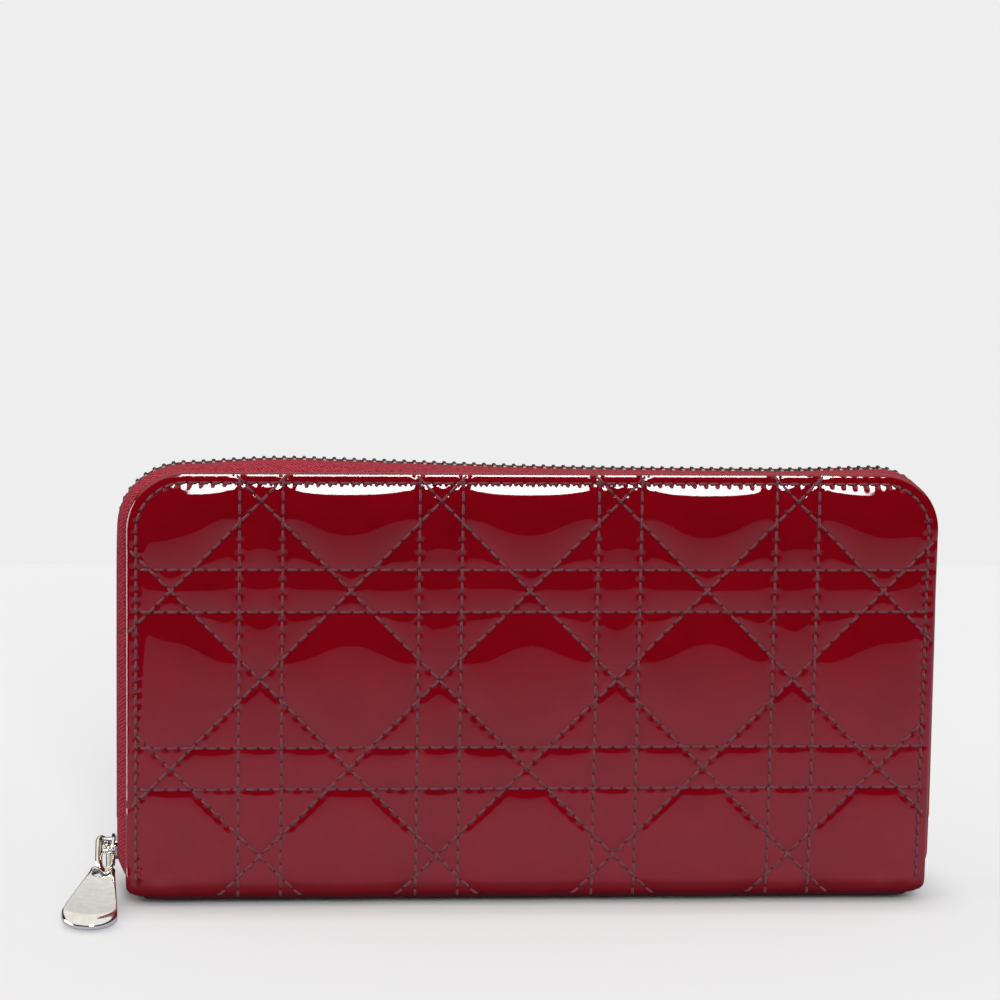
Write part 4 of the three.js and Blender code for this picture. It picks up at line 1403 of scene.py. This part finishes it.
# Painted shadow: close to the wallet the sheet as mirrored is darkened, a painted contact shadow that the
# leather's foot reflects.
contact_shadow_painted = add(tree, "ShaderNodeMath", {0: near}, {1: -PAINTED_CONTACT_SHADOW, 2: 1.0},
            operation="MULTIPLY_ADD").outputs[0]
for part in (bounce_shade_painted, contact_shadow_painted):
    painted_light_falloff = add(tree, "ShaderNodeMath", {0: painted_light_falloff, 1: part}, operation="MULTIPLY").outputs[0]
paper = add(tree, "ShaderNodeMath", {0: near}, {1: PALE - FLOOR_ALBEDO, 2: FLOOR_ALBEDO},
            operation="MULTIPLY_ADD").outputs[0]
tone = add(tree, "ShaderNodeMix", {0: seen, 2: painted_light_falloff, 3: paper}).outputs[0]
# The painted sheet that the leather mirrors is also made a little bluer than the sheet the camera sees.
cool = add(tree, "ShaderNodeMix", {0: seen}, {2: COOL, 3: 1.0}).outputs[0]
blue = add(tree, "ShaderNodeMath", {0: tone, 1: cool}, operation="MULTIPLY").outputs[0]
tree.links.new(add(tree, "ShaderNodeCombineColor", {0: tone, 1: tone, 2: blue}).outputs[0],
               shader.inputs["Base Color"])
shader.inputs["Emission Color"].default_value = (1, 1, 1, 1)
glow = add(tree, "ShaderNodeMath", {0: near}, {1: -GLOW, 2: GLOW}, operation="MULTIPLY_ADD").outputs[0]
tree.links.new(add(tree, "ShaderNodeMath", {0: seen, 1: glow}, operation="MULTIPLY").outputs[0],
               shader.inputs["Emission Strength"])
sheet = [(SHEET_LEFT, -SHEET_REACH, 0), (SHEET_RIGHT, -SHEET_REACH, 0),
         (SHEET_RIGHT, SHEET_REACH, 0), (SHEET_LEFT, SHEET_REACH, 0)]
piece("studio_floor", sheet, [(0, 1, 2, 3)], floor_material)

# %% World
world = bpy.data.worlds.new("studio")
bpy.context.scene.world = world
world.use_nodes = True
tree = world.node_tree
background = tree.nodes["Background"]
direction = add(tree, "ShaderNodeTexCoord").outputs["Generated"]
SOFTBOX_TURN = math.radians(4.97)
turned = add(tree, "ShaderNodeVectorRotate", {"Vector": direction}, {"Angle": -SOFTBOX_TURN},
             rotation_type="Z_AXIS").outputs[0]
xyz = add(tree, "ShaderNodeSeparateXYZ", {"Vector": turned})


def gate(value, low, high, rising=True):
    """0 to 1 as a direction's part goes from low to high, or 1 to 0."""
    ends = (0.0, 1.0) if rising else (1.0, 0.0)
    return add(tree, "ShaderNodeMapRange", {"Value": value},
               {"From Min": low, "From Max": high, "To Min": ends[0], "To Max": ends[1]},
               interpolation_type="SMOOTHSTEP").outputs["Result"]


def times(a, b):
    return add(tree, "ShaderNodeMath", {0: a, 1: b}, operation="MULTIPLY").outputs[0]


x_size = add(tree, "ShaderNodeMath", {0: xyz.outputs["X"]}, operation="ABSOLUTE").outputs[0]
SOFTBOX, FILL, DARK, SIDE_STRIP, SIDE_LIGHT = 20.0, 0.95, 0.02, 4.5, 1.5
box_tall = times(gate(xyz.outputs["Z"], 0.25, 0.265), gate(xyz.outputs["Z"], 0.62, 0.66, False))
box_wide = times(gate(x_size, 0.091, 0.1, False), gate(xyz.outputs["Y"], -0.05, 0.0, False))
softbox = times(box_tall, box_wide)
fill = add(tree, "ShaderNodeMapRange", {"Value": xyz.outputs["Z"]},
           {"From Min": 0.4, "From Max": 0.58, "To Min": DARK, "To Max": FILL}).outputs["Result"]
bright = add(tree, "ShaderNodeMath", {0: softbox, 2: fill}, {1: SOFTBOX},
             operation="MULTIPLY_ADD").outputs[0]
path = add(tree, "ShaderNodeLightPath")
z_size = add(tree, "ShaderNodeMath", {0: xyz.outputs["Z"]}, operation="ABSOLUTE").outputs[0]
strip_light = add(tree, "ShaderNodeMath", {0: path.outputs["Is Glossy Ray"]},
                  {1: SIDE_STRIP, 2: SIDE_LIGHT}, operation="MULTIPLY_ADD").outputs[0]
strip = times(gate(xyz.outputs["X"], -0.92, -0.9, False), gate(z_size, 0.4, 0.45, False))
bright = add(tree, "ShaderNodeMath", {0: strip, 1: strip_light, 2: bright},
             operation="MULTIPLY_ADD").outputs[0]
level = add(tree, "ShaderNodeMix", {0: path.outputs["Is Camera Ray"], 2: bright}, {3: PALE}).outputs[0]
tree.links.new(level, background.inputs["Strength"])
background.inputs["Color"].default_value = (1.0, 1.0, 1.0, 1.0)

# %% [markdown]
# The camera stands nearly level with the wallet, a little to its left, with a long lens, so the
# quilting hardly converges. It is turned slightly about its own axis, as a hand-set one is.

# %% Camera
CAMERA_AT = (-82.7, -883.4, 261.6)
LENS = 135.1
AZIMUTH, ELEVATION, ROLL = math.radians(-4.86), math.radians(10.5), math.radians(1.01)
back = Vector((math.sin(AZIMUTH) * math.cos(ELEVATION), -math.cos(AZIMUTH) * math.cos(ELEVATION),
               math.sin(ELEVATION)))
right = Vector((math.cos(AZIMUTH), math.sin(AZIMUTH), 0))
upward = back.cross(right)
right, upward = (right * math.cos(ROLL) + upward * math.sin(ROLL),
                 upward * math.cos(ROLL) - right * math.sin(ROLL))
camera = bpy.data.objects.new("camera", bpy.data.cameras.new("camera"))
camera.data.lens = LENS
camera.data.clip_start = 0.05
camera.matrix_world = (Matrix.Translation(Vector(CAMERA_AT) * MM)
                       @ Matrix((right, upward, back)).transposed().to_4x4())
bpy.context.scene.collection.objects.link(camera)
bpy.context.scene.camera = camera
bpy.context.scene.view_settings.view_transform = "Standard"
